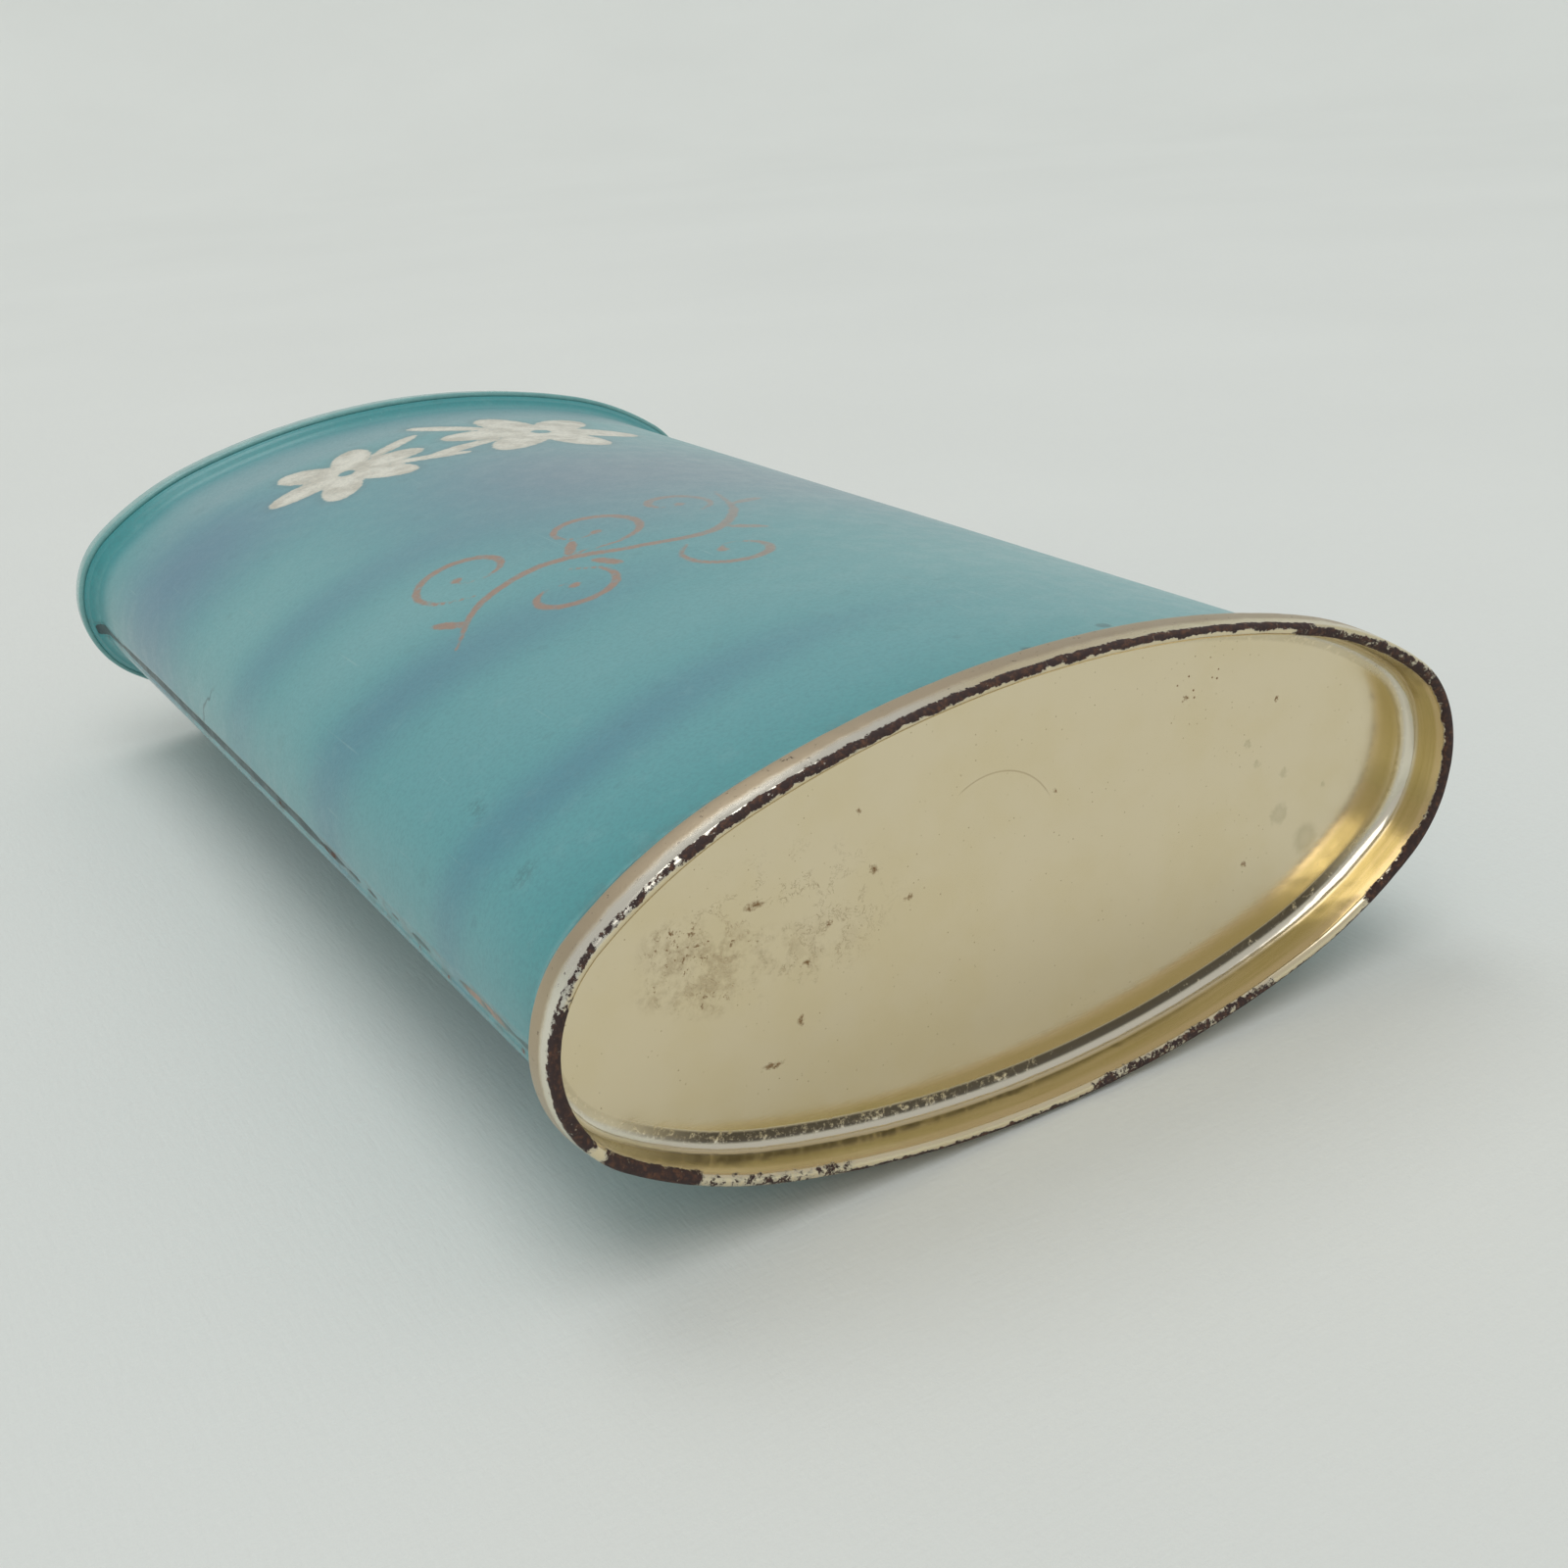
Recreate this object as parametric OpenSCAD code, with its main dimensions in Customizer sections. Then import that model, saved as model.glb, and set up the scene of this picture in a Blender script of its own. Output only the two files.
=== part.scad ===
// Talcum powder tin: an oval tinplate can with double-seamed ends and a turning sifter dial.
// The tin lies on its back on z = 0, with its front upward (+Z) and its sifter end toward +Y.
// Every piece is drawn standing up, with its bottom rim at height 0, and laid down at the end.

/* [Oval] */
// Half of the rims' width
half_width = 35; // [34.8:0.1:35.2]
// Half of the rims' depth
half_depth = 15.4; // [15.3:0.1:15.5]
// Radius of the oval's narrow ends
end_radius = 9.2; // [9:0.1:9.4]

/* [Body] */
// Height from rim to rim
tin_height = 114; // [90:1:140]
// Thickness of the tinplate
sheet = 0.2; // [0.18:0.01:0.2]
// How far the wall stands in from the rims
wall_inset = 1.5; // [1.4:0.1:1.8]
// Slope of the flare between wall and rim
flare_angle = 45; // [40:1:50]

/* [Double seams] */
// Height of a double seam
seam_height = 2.6; // [2.2:0.1:2.7]
// Radius of the crest's fold, at the middle of the sheet
crest_radius = 0.4; // [0.4:0.01:0.42]
// Thickness of the sealing compound at the crest
compound_thickness = 0.14; // [0.1:0.01:0.2]

/* [Ends] */
// Depth of the bottom panel below its rim
bottom_panel_depth = 3.5; // [3.1:0.1:4]
// Depth of the top panel below its rim
top_panel_depth = 3.2; // [3.1:0.1:3.6]
// Radius between chuck wall and panel
panel_fillet = 0.6; // [0.4:0.1:0.8]

/* [Side seam] */
// Turn of the side seam from the middle of the narrow end toward the back
side_seam_turn = 11.5; // [0:0.5:40]
// Width of the seam's groove
groove_width = 1.4; // [1:0.1:1.5]
// Depth of the seam's groove
groove_depth = 0.12; // [0.08:0.01:0.14]
// Width of the folded lock seam inside the wall
lock_width = 3; // [2:0.1:3.2]

/* [Sifter] */
// Radius of the top end's raised boss
boss_radius = 10.2; // [9.8:0.1:10.4]
// Height of the boss above the top rim
boss_rise = 2; // [1.6:0.1:3]
// Holes in the boss and in the dial
sifter_holes = 6; // [6]
// Diameter of a sifter hole
sifter_hole_d = 2; // [1.6:0.1:2.2]
// Radius of the ring of sifter holes
sifter_ring_radius = 6.2; // [6:0.1:6.4]

/* [Dial] */
// Thickness of the dial's sheet
dial_sheet = 0.3; // [0.25:0.01:0.35]
// Outside radius of the dial's skirt
dial_radius = 11.2; // [11.2:0.1:11.6]
// Height of the dial's skirt
dial_skirt = 2.8; // [2.4:0.1:3]
// Ribs around the dial's skirt
dial_ribs = 36; // [24:6:48]
// Turn of the dial between shut and open
dial_travel = 30; // [30]
// Radius of the rivet's shank
rivet_radius = 1.3; // [1.2:0.05:1.4]

/* [Hidden] */

$fn = 180;
slip = 0.01;
overlap = 0.05;

teal = [0.36, 0.62, 0.63];
gold = [0.78, 0.71, 0.52];
dull_grey = [0.42, 0.46, 0.44];
rubber_grey = [0.30, 0.31, 0.30];
bright_steel = [0.72, 0.72, 0.70];

// Directions in which the oval's arcs meet: a 3-4-5 and a 7-24-25 triangle keep the centres round numbers.
end_turn = [0.6, 0.8];
corner_turn = [0.28, 0.96];
end_angle = atan2(end_turn[1], end_turn[0]);
corner_angle = atan2(corner_turn[1], corner_turn[0]);

// The corner and side radii close the oval at its given width and depth.
corner_rise = corner_turn[1] - end_turn[1];
corner_run = end_turn[0] - corner_turn[0];
side_rise = 1 - corner_turn[1];
rise_left = half_depth - end_radius * end_turn[1];
run_left = half_width - end_radius * (1 - end_turn[0]);
closing = corner_rise * corner_turn[0] - side_rise * corner_run;
corner_radius = (rise_left * corner_turn[0] - run_left * side_rise) / closing;
side_radius = (run_left * corner_rise - rise_left * corner_run) / closing;
end_centre = [half_width - end_radius, 0];
corner_centre = end_centre + (end_radius - corner_radius) * end_turn;
side_centre = corner_centre + (corner_radius - side_radius) * corner_turn;

// Middles of the five layers of a double seam, measured outward from the rim's outline.
seam_middle = -crest_radius - sheet / 2;
body_hook_layer = seam_middle + crest_radius / 2;
cover_hook_layer = seam_middle;
body_layer = seam_middle - crest_radius / 2;
chuck_layer = seam_middle - crest_radius;
hook_radius = crest_radius / 2;
fold_depth = crest_radius + sheet / 2;
body_fold_depth = fold_depth + compound_thickness;
curl_depth = seam_height - hook_radius - sheet / 2;
hook_overlap = 1.2;
cover_hook_end = curl_depth - hook_overlap;
body_hook_end = curl_depth - sheet / 2;
seam_panel_radius = panel_fillet + sheet / 2;
panel_edge = chuck_layer - seam_panel_radius;
panel_band = 5;

// The flare turns around the panel's fillet and runs from the seam's body layer in to the wall.
wall_middle = -wall_inset - sheet / 2;
flare_turn_radius = seam_panel_radius + sheet + overlap;
flare_radius = (body_layer - wall_middle) / (1 - cos(flare_angle)) - flare_turn_radius;

// The side seam: the wall's outer radius at the narrow end, and the folded layers inside it.
wall_radius = end_radius - wall_inset;
lock_thickness = 3 * sheet;
solder_depth = groove_depth / 2;

// Heights of the sifter's pieces.
boss_top = tin_height + boss_rise;
boss_sheet_middle = boss_top - sheet / 2;
top_panel_middle = tin_height - top_panel_depth - sheet / 2;
boss_corner = 0.8;
boss_foot = 0.7;
boss_foot_radius = boss_radius - sheet / 2 + boss_foot;
boss_flange = 1;
dial_gap = 0.06;
dial_under = boss_top + dial_gap;
dial_top = dial_under + dial_sheet;
dial_corner = 0.9;
dial_bore_radius = rivet_radius + 0.07;
rivet_head_radius = 2.6;
rivet_head_rim = 0.25;
rivet_head_rise = 0.5;
rivet_head_under = dial_top + dial_gap;
overall_top = rivet_head_under + rivet_head_rim + rivet_head_rise;
washer_radius = 4.2;
washer_bore_radius = rivet_radius + 0.1;
washer_dish = 0.35;
washer_bottom = boss_top - sheet - washer_dish - sheet;
clinch_radius = 2.1;
clinch_height = 0.45;
clinch_foot_radius = 1.5;
stop_radius = 8.6;
stop_pin_radius = 0.5;
stop_slot_radius = stop_pin_radius + 0.1;
stop_pin_rise = 0.55;
stop_pin_angle = 180 + dial_travel / 2;
ridge_inner = 4.2;
ridge_outer = 9.2;
ridge_radius = 1.3;
ridge_rise = 0.8;
rib_radius = 0.3;
rib_height = 1.7;

// Points of an arc, from one angle to another.
function arc(centre, radius, from, to, steps) = [
    for (i = [0:steps])
    let (angle = from + (to - from) * i / steps)
    centre + radius * [cos(angle), sin(angle)]
];

// Unit normal to the left of a path's step.
function step_normal(a, b) = let (d = (b - a) / norm(b - a)) [-d[1], d[0]];

// One side of a sheet whose middle follows the path, mitred at the bends.
function sheet_side(path, away) = [
    for (i = [0:len(path) - 1])
    let (
        before = step_normal(path[max(i - 1, 0)], path[max(i, 1)]),
        after = step_normal(path[min(i, len(path) - 2)], path[min(i + 1, len(path) - 1)]),
        along = (before + after) / norm(before + after)
    )
    path[i] + away / (along * before) * along
];

// Outline of a sheet whose middle follows the path.
function sheet_outline(path, thickness) = concat(
    sheet_side(path, thickness / 2),
    [for (i = [len(path) - 1:-1:0]) sheet_side(path, -thickness / 2)[i]]
);

// A quarter of the oval's points, set out by a distance, from the narrow end round to the side.
function oval_quarter(out, steps) = concat(
    arc(end_centre, end_radius + out, 0, end_angle, steps),
    arc(corner_centre, corner_radius + out, end_angle, corner_angle, steps),
    arc(side_centre, side_radius + out, corner_angle, 90, steps)
);

// Sweeps a profile around one arc of the oval, between two directions; its x runs outward from the outline.
module sweep_arc(centre, radius, from, to) {
    reach = 100;
    margin = 1;
    translate(centre)
    intersection() {
        rotate_extrude() translate([radius, 0]) children();
        translate([0, 0, -margin])
        linear_extrude(tin_height + 2 * margin)
        polygon([[0, 0], reach * from, reach * to]);
    }
}

// Sweeps a profile all the way around the oval.
module around_oval() {
    for (side = [0, 1]) mirror([side, 0, 0]) {
        sweep_arc(end_centre, end_radius, [end_turn[0], -end_turn[1]], end_turn) children();
        for (back = [0, 1]) mirror([0, back, 0])
            sweep_arc(corner_centre, corner_radius, end_turn, corner_turn) children();
    }
    for (back = [0, 1]) mirror([0, back, 0])
        sweep_arc(side_centre, side_radius, corner_turn, [-corner_turn[0], corner_turn[1]]) children();
}

// The flat middle of an end's panel, which overlaps the band that its profile carries.
module panel_plate(middle) {
    quarter = oval_quarter(panel_edge - panel_band / 2, 12);
    turned = [for (i = [len(quarter) - 1:-1:0]) [-quarter[i][0], quarter[i][1]]];
    half = concat(quarter, turned);
    translate([0, 0, middle - sheet / 2])
    linear_extrude(sheet)
    polygon(concat(half, [for (i = [len(half) - 1:-1:0]) [half[i][0], -half[i][1]]]));
}

// Middle of an end's sheet from its panel over the crest to the cover hook; y is depth from the crest.
function end_path(panel_depth) = concat(
    [[panel_edge - panel_band, panel_depth + sheet / 2]],
    arc([panel_edge, panel_depth + sheet / 2 - seam_panel_radius], seam_panel_radius, 90, 0, 6),
    arc([seam_middle, fold_depth], crest_radius, 180, 360, 9),
    arc([body_hook_layer, curl_depth], hook_radius, 0, 180, 6),
    [[cover_hook_layer, cover_hook_end]]
);

// Depths at which the body's flare starts and ends.
function flare_start(panel_depth) = panel_depth - panel_fillet + sheet / 2;
function flare_end(panel_depth) =
    flare_start(panel_depth) + (flare_radius + flare_turn_radius) * sin(flare_angle);

// Middle of the body's sheet from its hook over the fold, down the seam and in to the wall.
function body_path(panel_depth) = let (
    turn_centre = [body_layer - flare_turn_radius, flare_start(panel_depth)],
    wall_centre = [wall_middle + flare_radius, flare_end(panel_depth)],
    into_wall = arc(wall_centre, flare_radius, 180 + flare_angle, 180, 8)
) concat(
    [[body_hook_layer, body_hook_end]],
    arc([seam_middle, body_fold_depth], hook_radius, 360, 180, 9),
    arc(turn_centre, flare_turn_radius, 0, flare_angle, 4),
    [for (i = [1:len(into_wall) - 1]) into_wall[i]]
);

module end_profile(panel_depth)
    polygon(sheet_outline(end_path(panel_depth), sheet));

// The body's sheet from rim to rim: the bottom hook, the wall, and the top hook turned over.
module body_profile() {
    top_hook = body_path(top_panel_depth);
    head = [for (i = [len(top_hook) - 1:-1:0]) [top_hook[i][0], tin_height - top_hook[i][1]]];
    polygon(sheet_outline(concat(body_path(bottom_panel_depth), head), sheet));
}

// Places a piece on the side seam's line: x outward from the end arc's centre, y across the seam.
module at_side_seam()
    translate([-end_centre[0], 0, 0])
    rotate(180 + side_seam_turn)
    children();

// A bar along the side seam between two radii of the wall.
module seam_bar(inner, outer, width) {
    foot = flare_end(bottom_panel_depth);
    head = tin_height - flare_end(top_panel_depth);
    at_side_seam()
    translate([inner, -width / 2, foot])
    cube([outer - inner, width, head - foot]);
}

module body_wall() {
    color(teal)
    difference() {
        union() {
            around_oval() body_profile();
            seam_bar(wall_radius - sheet - lock_thickness, wall_radius - sheet - overlap, lock_width);
        }
        seam_bar(wall_radius - groove_depth, wall_radius + groove_width, groove_width);
    }
}

module seam_solder() {
    bead_width = groove_width - 2 * slip;
    color(dull_grey)
    seam_bar(wall_radius - groove_depth, wall_radius - solder_depth, bead_width);
}

module bottom_end() {
    color(gold) {
        around_oval() end_profile(bottom_panel_depth);
        panel_plate(bottom_panel_depth + sheet / 2);
    }
}

// The ring between the cover's fold and the body's fold.
module compound_profile() {
    fold_radius = hook_radius + sheet / 2;
    tuck = 20;
    upper = arc([seam_middle, fold_depth], fold_radius - slip, 180, 360, 9);
    lower = arc([seam_middle, body_fold_depth], fold_radius + slip, 360 - tuck, 180 + tuck, 9);
    polygon(concat(upper, lower));
}

module bottom_compound() {
    color(rubber_grey)
    around_oval() compound_profile();
}

module top_compound() {
    color(rubber_grey)
    translate([0, 0, tin_height])
    mirror([0, 0, 1])
    around_oval() compound_profile();
}

// Middle of the raised boss's sheet, from its flat top out to the panel.
function boss_path() = concat(
    [[rivet_radius + sheet, boss_sheet_middle]],
    arc([boss_radius - sheet / 2 - boss_corner, boss_sheet_middle - boss_corner], boss_corner, 90, 0, 6),
    arc([boss_foot_radius, top_panel_middle + boss_foot], boss_foot, 180, 270, 6),
    [[boss_foot_radius + boss_flange, top_panel_middle]]
);

// Places a child at each sifter hole, turned by an angle.
module at_sifter_holes(turn)
    for (i = [0:sifter_holes - 1])
        rotate(turn + i * 360 / sifter_holes)
        translate([sifter_ring_radius, 0, 0])
        children();

module top_end() {
    color(teal) {
        translate([0, 0, tin_height]) mirror([0, 0, 1]) around_oval() end_profile(top_panel_depth);
        difference() {
            panel_plate(top_panel_middle);
            translate([0, 0, top_panel_middle - sheet]) cylinder(r = boss_foot_radius, h = 2 * sheet);
        }
        difference() {
            union() {
                rotate_extrude() polygon(sheet_outline(boss_path(), sheet));
                translate([0, 0, boss_top - sheet]) cylinder(r = rivet_radius + 2 * sheet, h = sheet);
            }
            translate([0, 0, boss_top - 2 * sheet]) {
                cylinder(r = rivet_radius, h = 3 * sheet);
                at_sifter_holes(0) cylinder(d = sifter_hole_d, h = 3 * sheet);
            }
        }
        rotate(stop_pin_angle)
        translate([stop_radius, 0, boss_top - sheet / 2])
        cylinder(r = stop_pin_radius, h = stop_pin_rise + sheet / 2);
    }
}

// Middle of the dial's sheet, from its bore out over the skirt.
function dial_path() = let (
    side = dial_radius - dial_sheet / 2,
    face = dial_top - dial_sheet / 2
) concat(
    [[dial_bore_radius, face]],
    arc([side - dial_corner, face - dial_corner], dial_corner, 90, 0, 8),
    [[side, dial_top - dial_skirt]]
);

// The curved slot that the stop pin travels in.
module stop_slot() {
    translate([0, 0, dial_under - dial_gap / 2]) {
        rotate(stop_pin_angle - dial_travel)
        rotate_extrude(angle = dial_travel)
        translate([stop_radius - stop_slot_radius, 0])
        square([2 * stop_slot_radius, dial_sheet + dial_gap]);
        for (turn = [0, dial_travel])
            rotate(stop_pin_angle - turn)
            translate([stop_radius, 0, 0])
            cylinder(r = stop_slot_radius, h = dial_sheet + dial_gap);
    }
}

// A rounded thumb ridge across the dial, with domed ends.
module thumb_ridge() {
    axis_height = dial_top + ridge_rise - ridge_radius;
    intersection() {
        union() {
            translate([ridge_inner, 0, axis_height]) rotate([0, 90, 0])
            cylinder(r = ridge_radius, h = ridge_outer - ridge_inner);
            for (end = [ridge_inner, ridge_outer]) translate([end, 0, axis_height]) sphere(r = ridge_radius);
        }
        translate([0, -ridge_radius, dial_top - dial_sheet / 2])
        cube([dial_radius, 2 * ridge_radius, 2 * ridge_radius]);
    }
}

module sifter_dial() {
    rib_bottom = dial_top - dial_skirt + rib_radius;
    color(gold)
    difference() {
        union() {
            rotate_extrude() polygon(sheet_outline(dial_path(), dial_sheet));
            thumb_ridge();
            for (i = [0:dial_ribs - 1])
                rotate(i * 360 / dial_ribs)
                translate([dial_radius - rib_radius / 3, 0, rib_bottom])
                cylinder(r = rib_radius, h = rib_height, $fn = 24);
        }
        translate([0, 0, dial_under - dial_gap / 2])
        at_sifter_holes(180 / sifter_holes)
        cylinder(d = sifter_hole_d, h = dial_sheet + dial_gap);
        stop_slot();
    }
}

module dial_rivet() {
    shank_bottom = washer_bottom - clinch_height;
    head_side = rivet_head_under + rivet_head_rim;
    dome_radius = (rivet_head_radius ^ 2 + rivet_head_rise ^ 2) / (2 * rivet_head_rise);
    dome_angle = asin(rivet_head_radius / dome_radius);
    dome_centre = [0, overall_top - dome_radius];
    color(bright_steel)
    rotate_extrude()
    polygon(concat(
        [[0, shank_bottom], [clinch_foot_radius, shank_bottom]],
        [[clinch_radius, shank_bottom + clinch_height / 2], [clinch_radius, washer_bottom - slip]],
        [[rivet_radius - slip, washer_bottom - slip]],
        [[rivet_radius - slip, rivet_head_under], [rivet_head_radius, rivet_head_under]],
        [[rivet_head_radius, head_side]],
        [for (p = arc(dome_centre, dome_radius, 90 - dome_angle, 90, 8)) if (p[1] > head_side + slip) p]
    ));
}

module spring_washer() {
    color(bright_steel)
    rotate_extrude()
    polygon([
        [washer_bore_radius, washer_bottom],
        [washer_radius, washer_bottom + washer_dish - slip],
        [washer_radius, washer_bottom + washer_dish + sheet - slip],
        [washer_bore_radius, washer_bottom + sheet]
    ]);
}

// Lays the standing tin on its back, centred along its length.
module lay_down()
    translate([0, -overall_top / 2, half_depth])
    rotate([-90, 0, 0])
    children();

lay_down() body_wall();
lay_down() seam_solder();
lay_down() bottom_end();
lay_down() bottom_compound();
lay_down() top_end();
lay_down() top_compound();
lay_down() sifter_dial();
lay_down() dial_rivet();
lay_down() spring_washer();
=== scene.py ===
import math

import bmesh
import bpy
import numpy as np
from mathutils import Matrix, Vector, noise


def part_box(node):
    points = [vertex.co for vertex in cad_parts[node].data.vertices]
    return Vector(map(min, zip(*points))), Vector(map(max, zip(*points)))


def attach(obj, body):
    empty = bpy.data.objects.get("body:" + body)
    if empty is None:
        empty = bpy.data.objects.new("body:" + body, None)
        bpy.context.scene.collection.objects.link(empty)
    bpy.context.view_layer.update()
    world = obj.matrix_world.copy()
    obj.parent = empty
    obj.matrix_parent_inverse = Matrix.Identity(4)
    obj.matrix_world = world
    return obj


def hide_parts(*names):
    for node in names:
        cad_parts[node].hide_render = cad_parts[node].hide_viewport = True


# An oval tinplate powder tin on its back: printed body, worn gold-lacquered bottom, turning sifter dial.
# Lengths are in millimetres until a mesh is made. "Height" runs from the bottom rim's crest (0) to the
# top rim's crest, and "around" runs along the wall from the front's middle, positive toward +X.

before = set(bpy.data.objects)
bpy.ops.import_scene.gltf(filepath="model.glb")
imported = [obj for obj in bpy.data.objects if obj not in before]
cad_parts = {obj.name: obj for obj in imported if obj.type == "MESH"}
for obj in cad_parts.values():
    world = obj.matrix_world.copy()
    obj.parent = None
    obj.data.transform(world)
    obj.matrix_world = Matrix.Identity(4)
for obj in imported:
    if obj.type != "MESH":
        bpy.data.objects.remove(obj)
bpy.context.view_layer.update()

MM = 0.001


# ---------------------------------------------------------------- sizes, from the frame

def box_mm(node):
    """Lowest and highest corner of a CAD node, in millimetres."""
    low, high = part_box(node)
    return low / MM, high / MM


bottom_low, bottom_high = box_mm("bottom_end")
wall_low, wall_high = box_mm("body_wall")
rivet_low, rivet_high = box_mm("dial_rivet")

half_width = bottom_high.x
half_depth = (bottom_high.z - bottom_low.z) / 2
rim_y = bottom_low.y
tin_height = wall_high.y + wall_low.y - 2 * rim_y

SHEET = 0.2
END_RADIUS = 9.2
WALL_INSET = 1.5
SEAM_HEIGHT = 2.6
CREST_RADIUS = 0.4
FILLET_RADIUS = 0.7
BOWL_RADIUS = 1.15
BOTTOM_DEPTH = 3.5
TOP_DEPTH = 3.2
FLARE_ANGLE = math.radians(45)

seam_middle = -CREST_RADIUS - SHEET / 2
body_layer = seam_middle - CREST_RADIUS / 2
chuck_layer = seam_middle - CREST_RADIUS
panel_edge = chuck_layer - BOWL_RADIUS
fold_depth = CREST_RADIUS + SHEET / 2
body_fold_depth = fold_depth + 0.14
hook_radius = CREST_RADIUS / 2
curl_depth = SEAM_HEIGHT - hook_radius - SHEET / 2
wall_middle = -WALL_INSET - SHEET / 2
flare_turn = FILLET_RADIUS + SHEET + 0.05
flare_radius = (body_layer - wall_middle) / (1 - math.cos(FLARE_ANGLE)) - flare_turn
GROOVE_WIDTH = 1.4
SHARP_ANGLE = math.radians(50)
NO_PRINT = 300

# The side seam is on the -X end, turned toward the back. Directions are in degrees from the front.
SEAM_DIRECTION = -101.5
WALL_STEPS = (44, 26, 104, 40)


# ---------------------------------------------------------------- the oval

# The oval's arcs meet where their normals point along a 3-4-5 and a 7-24-25 triangle.
END_TURN = np.array([0.6, 0.8])
CORNER_TURN = np.array([0.28, 0.96])


def arc_radii():
    """Radii of the corner and side arcs, which close the oval at its width and depth."""
    rise = half_depth - END_RADIUS * END_TURN[1]
    run = half_width - END_RADIUS * (1 - END_TURN[0])
    step = CORNER_TURN - END_TURN
    side_rise = 1 - CORNER_TURN[1]
    closing = step[1] * CORNER_TURN[0] + side_rise * step[0]
    corner = (rise * CORNER_TURN[0] - run * side_rise) / closing
    side = (run * step[1] + rise * step[0]) / closing
    return corner, side


corner_radius, side_radius = arc_radii()
end_centre = np.array([half_width - END_RADIUS, 0.0])
corner_centre = end_centre + (END_RADIUS - corner_radius) * END_TURN
side_centre = corner_centre + (corner_radius - side_radius) * CORNER_TURN
corner_limit = math.degrees(math.atan2(CORNER_TURN[0], CORNER_TURN[1]))
end_limit = math.degrees(math.atan2(END_TURN[0], END_TURN[1]))


class Stations:
    """Places around the oval: the rim's outline, its outward normal and the distance around the wall."""

    def __init__(self, directions):
        turn = np.radians(directions)
        self.normal = np.stack([np.sin(turn), np.cos(turn)], 1)
        steep = np.abs(self.normal[:, 1])
        at_end = steep < END_TURN[1] + 1e-9
        at_side = steep > CORNER_TURN[1] - 1e-9
        centre = np.where(at_side[:, None], side_centre, corner_centre)
        centre = np.where(at_end[:, None], end_centre, centre)
        radius = np.where(at_end, END_RADIUS, np.where(at_side, side_radius, corner_radius))
        self.outline = centre * np.sign(self.normal + 1e-12) + radius[:, None] * self.normal
        wall = self.outline - WALL_INSET * self.normal
        steps = np.hypot(*np.diff(wall, axis=0, append=wall[:1]).T)
        length = np.concatenate([[0], np.cumsum(steps)])
        self.lap = length - length[-1] / 2
        self.around = self.lap[:-1]

    def ring(self, out, height):
        """A ring of points set out from the rim's outline. out and height are numbers or arrays."""
        flat = self.outline + np.reshape(out, (-1, 1)) * self.normal
        return placed(flat, height)


def placed(flat, height):
    """Points of a cross-section of the tin, (x, z) from its axis, at a height, in the row frame."""
    height = np.broadcast_to(height, len(flat))
    return np.stack([flat[:, 0], rim_y + height, flat[:, 1] + half_depth], 1)


def oval_directions(end_steps, corner_steps, front_steps, back_steps):
    """Directions of the stations from the back's middle round by -X, with steps counted for each arc."""
    back_middle = 180.0
    edges = [
        (-back_middle, corner_limit - back_middle, back_steps // 2),
        (corner_limit - back_middle, end_limit - back_middle, corner_steps),
        (end_limit - back_middle, -end_limit, end_steps),
        (-end_limit, -corner_limit, corner_steps),
        (-corner_limit, corner_limit, front_steps),
        (corner_limit, end_limit, corner_steps),
        (end_limit, back_middle - end_limit, end_steps),
        (back_middle - end_limit, back_middle - corner_limit, corner_steps),
        (back_middle - corner_limit, back_middle, back_steps // 2),
    ]
    return np.concatenate([np.linspace(a, b, n, endpoint=False) for a, b, n in edges])


def arc(centre, radius, start, end, steps):
    """Points of an arc in a profile plane; angles in degrees."""
    turn = np.radians(np.linspace(start, end, steps + 1))
    return np.stack([centre[0] + radius * np.cos(turn), centre[1] + radius * np.sin(turn)], 1)


def path_sides(path):
    """The unit normals to the left of a path, and the length along it."""
    step = np.diff(path, axis=0)
    length = np.hypot(*step.T)
    left = np.stack([-step[:, 1], step[:, 0]], 1) / length[:, None]
    before = np.concatenate([left[:1], left])
    after = np.concatenate([left, left[-1:]])
    along = before + after
    along /= np.hypot(*along.T)[:, None]
    along /= (along * before).sum(1)[:, None]
    return along, np.concatenate([[0], np.cumsum(length)])


def wavy(points, scale, seed):
    """Smooth noise from -1 to 1 at each point, the same on every run."""
    shift = Vector((seed * 17.3, seed * 5.1, seed * 9.7))
    return np.array([noise.noise(Vector(p) * scale + shift) for p in points])


# ---------------------------------------------------------------- meshes

LAYOUT_UNIT = 100


def loft(name, rings, lap, along, joined):
    """A skin over closed rings. Its UV map holds the distances around and along, in units of 100 mm.

    lap has one value more than a ring has points. joined links the last ring to the first."""
    count = len(rings[0])
    points = np.concatenate(rings)
    rows = len(rings) if joined else len(rings) - 1
    row, column = np.meshgrid(np.arange(rows), np.arange(count), indexing="ij")
    row, column = row.ravel(), column.ravel()
    next_row, next_column = (row + 1) % len(rings), (column + 1) % count
    quads = np.stack([row * count + column, row * count + next_column,
                      next_row * count + next_column, next_row * count + column], 1)
    along = np.append(along, along[-1])
    u = np.stack([lap[column], lap[column + 1], lap[column + 1], lap[column]], 1)
    v = np.stack([along[row], along[row], along[row + 1], along[row + 1]], 1)
    mesh = bpy.data.meshes.new(name)
    mesh.from_pydata((points * MM).tolist(), [], quads.tolist())
    layout = mesh.uv_layers.new(name="layout")
    layout.data.foreach_set("uv", (np.stack([u, v], 2) / LAYOUT_UNIT).ravel())
    return finished(name, mesh)


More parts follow.
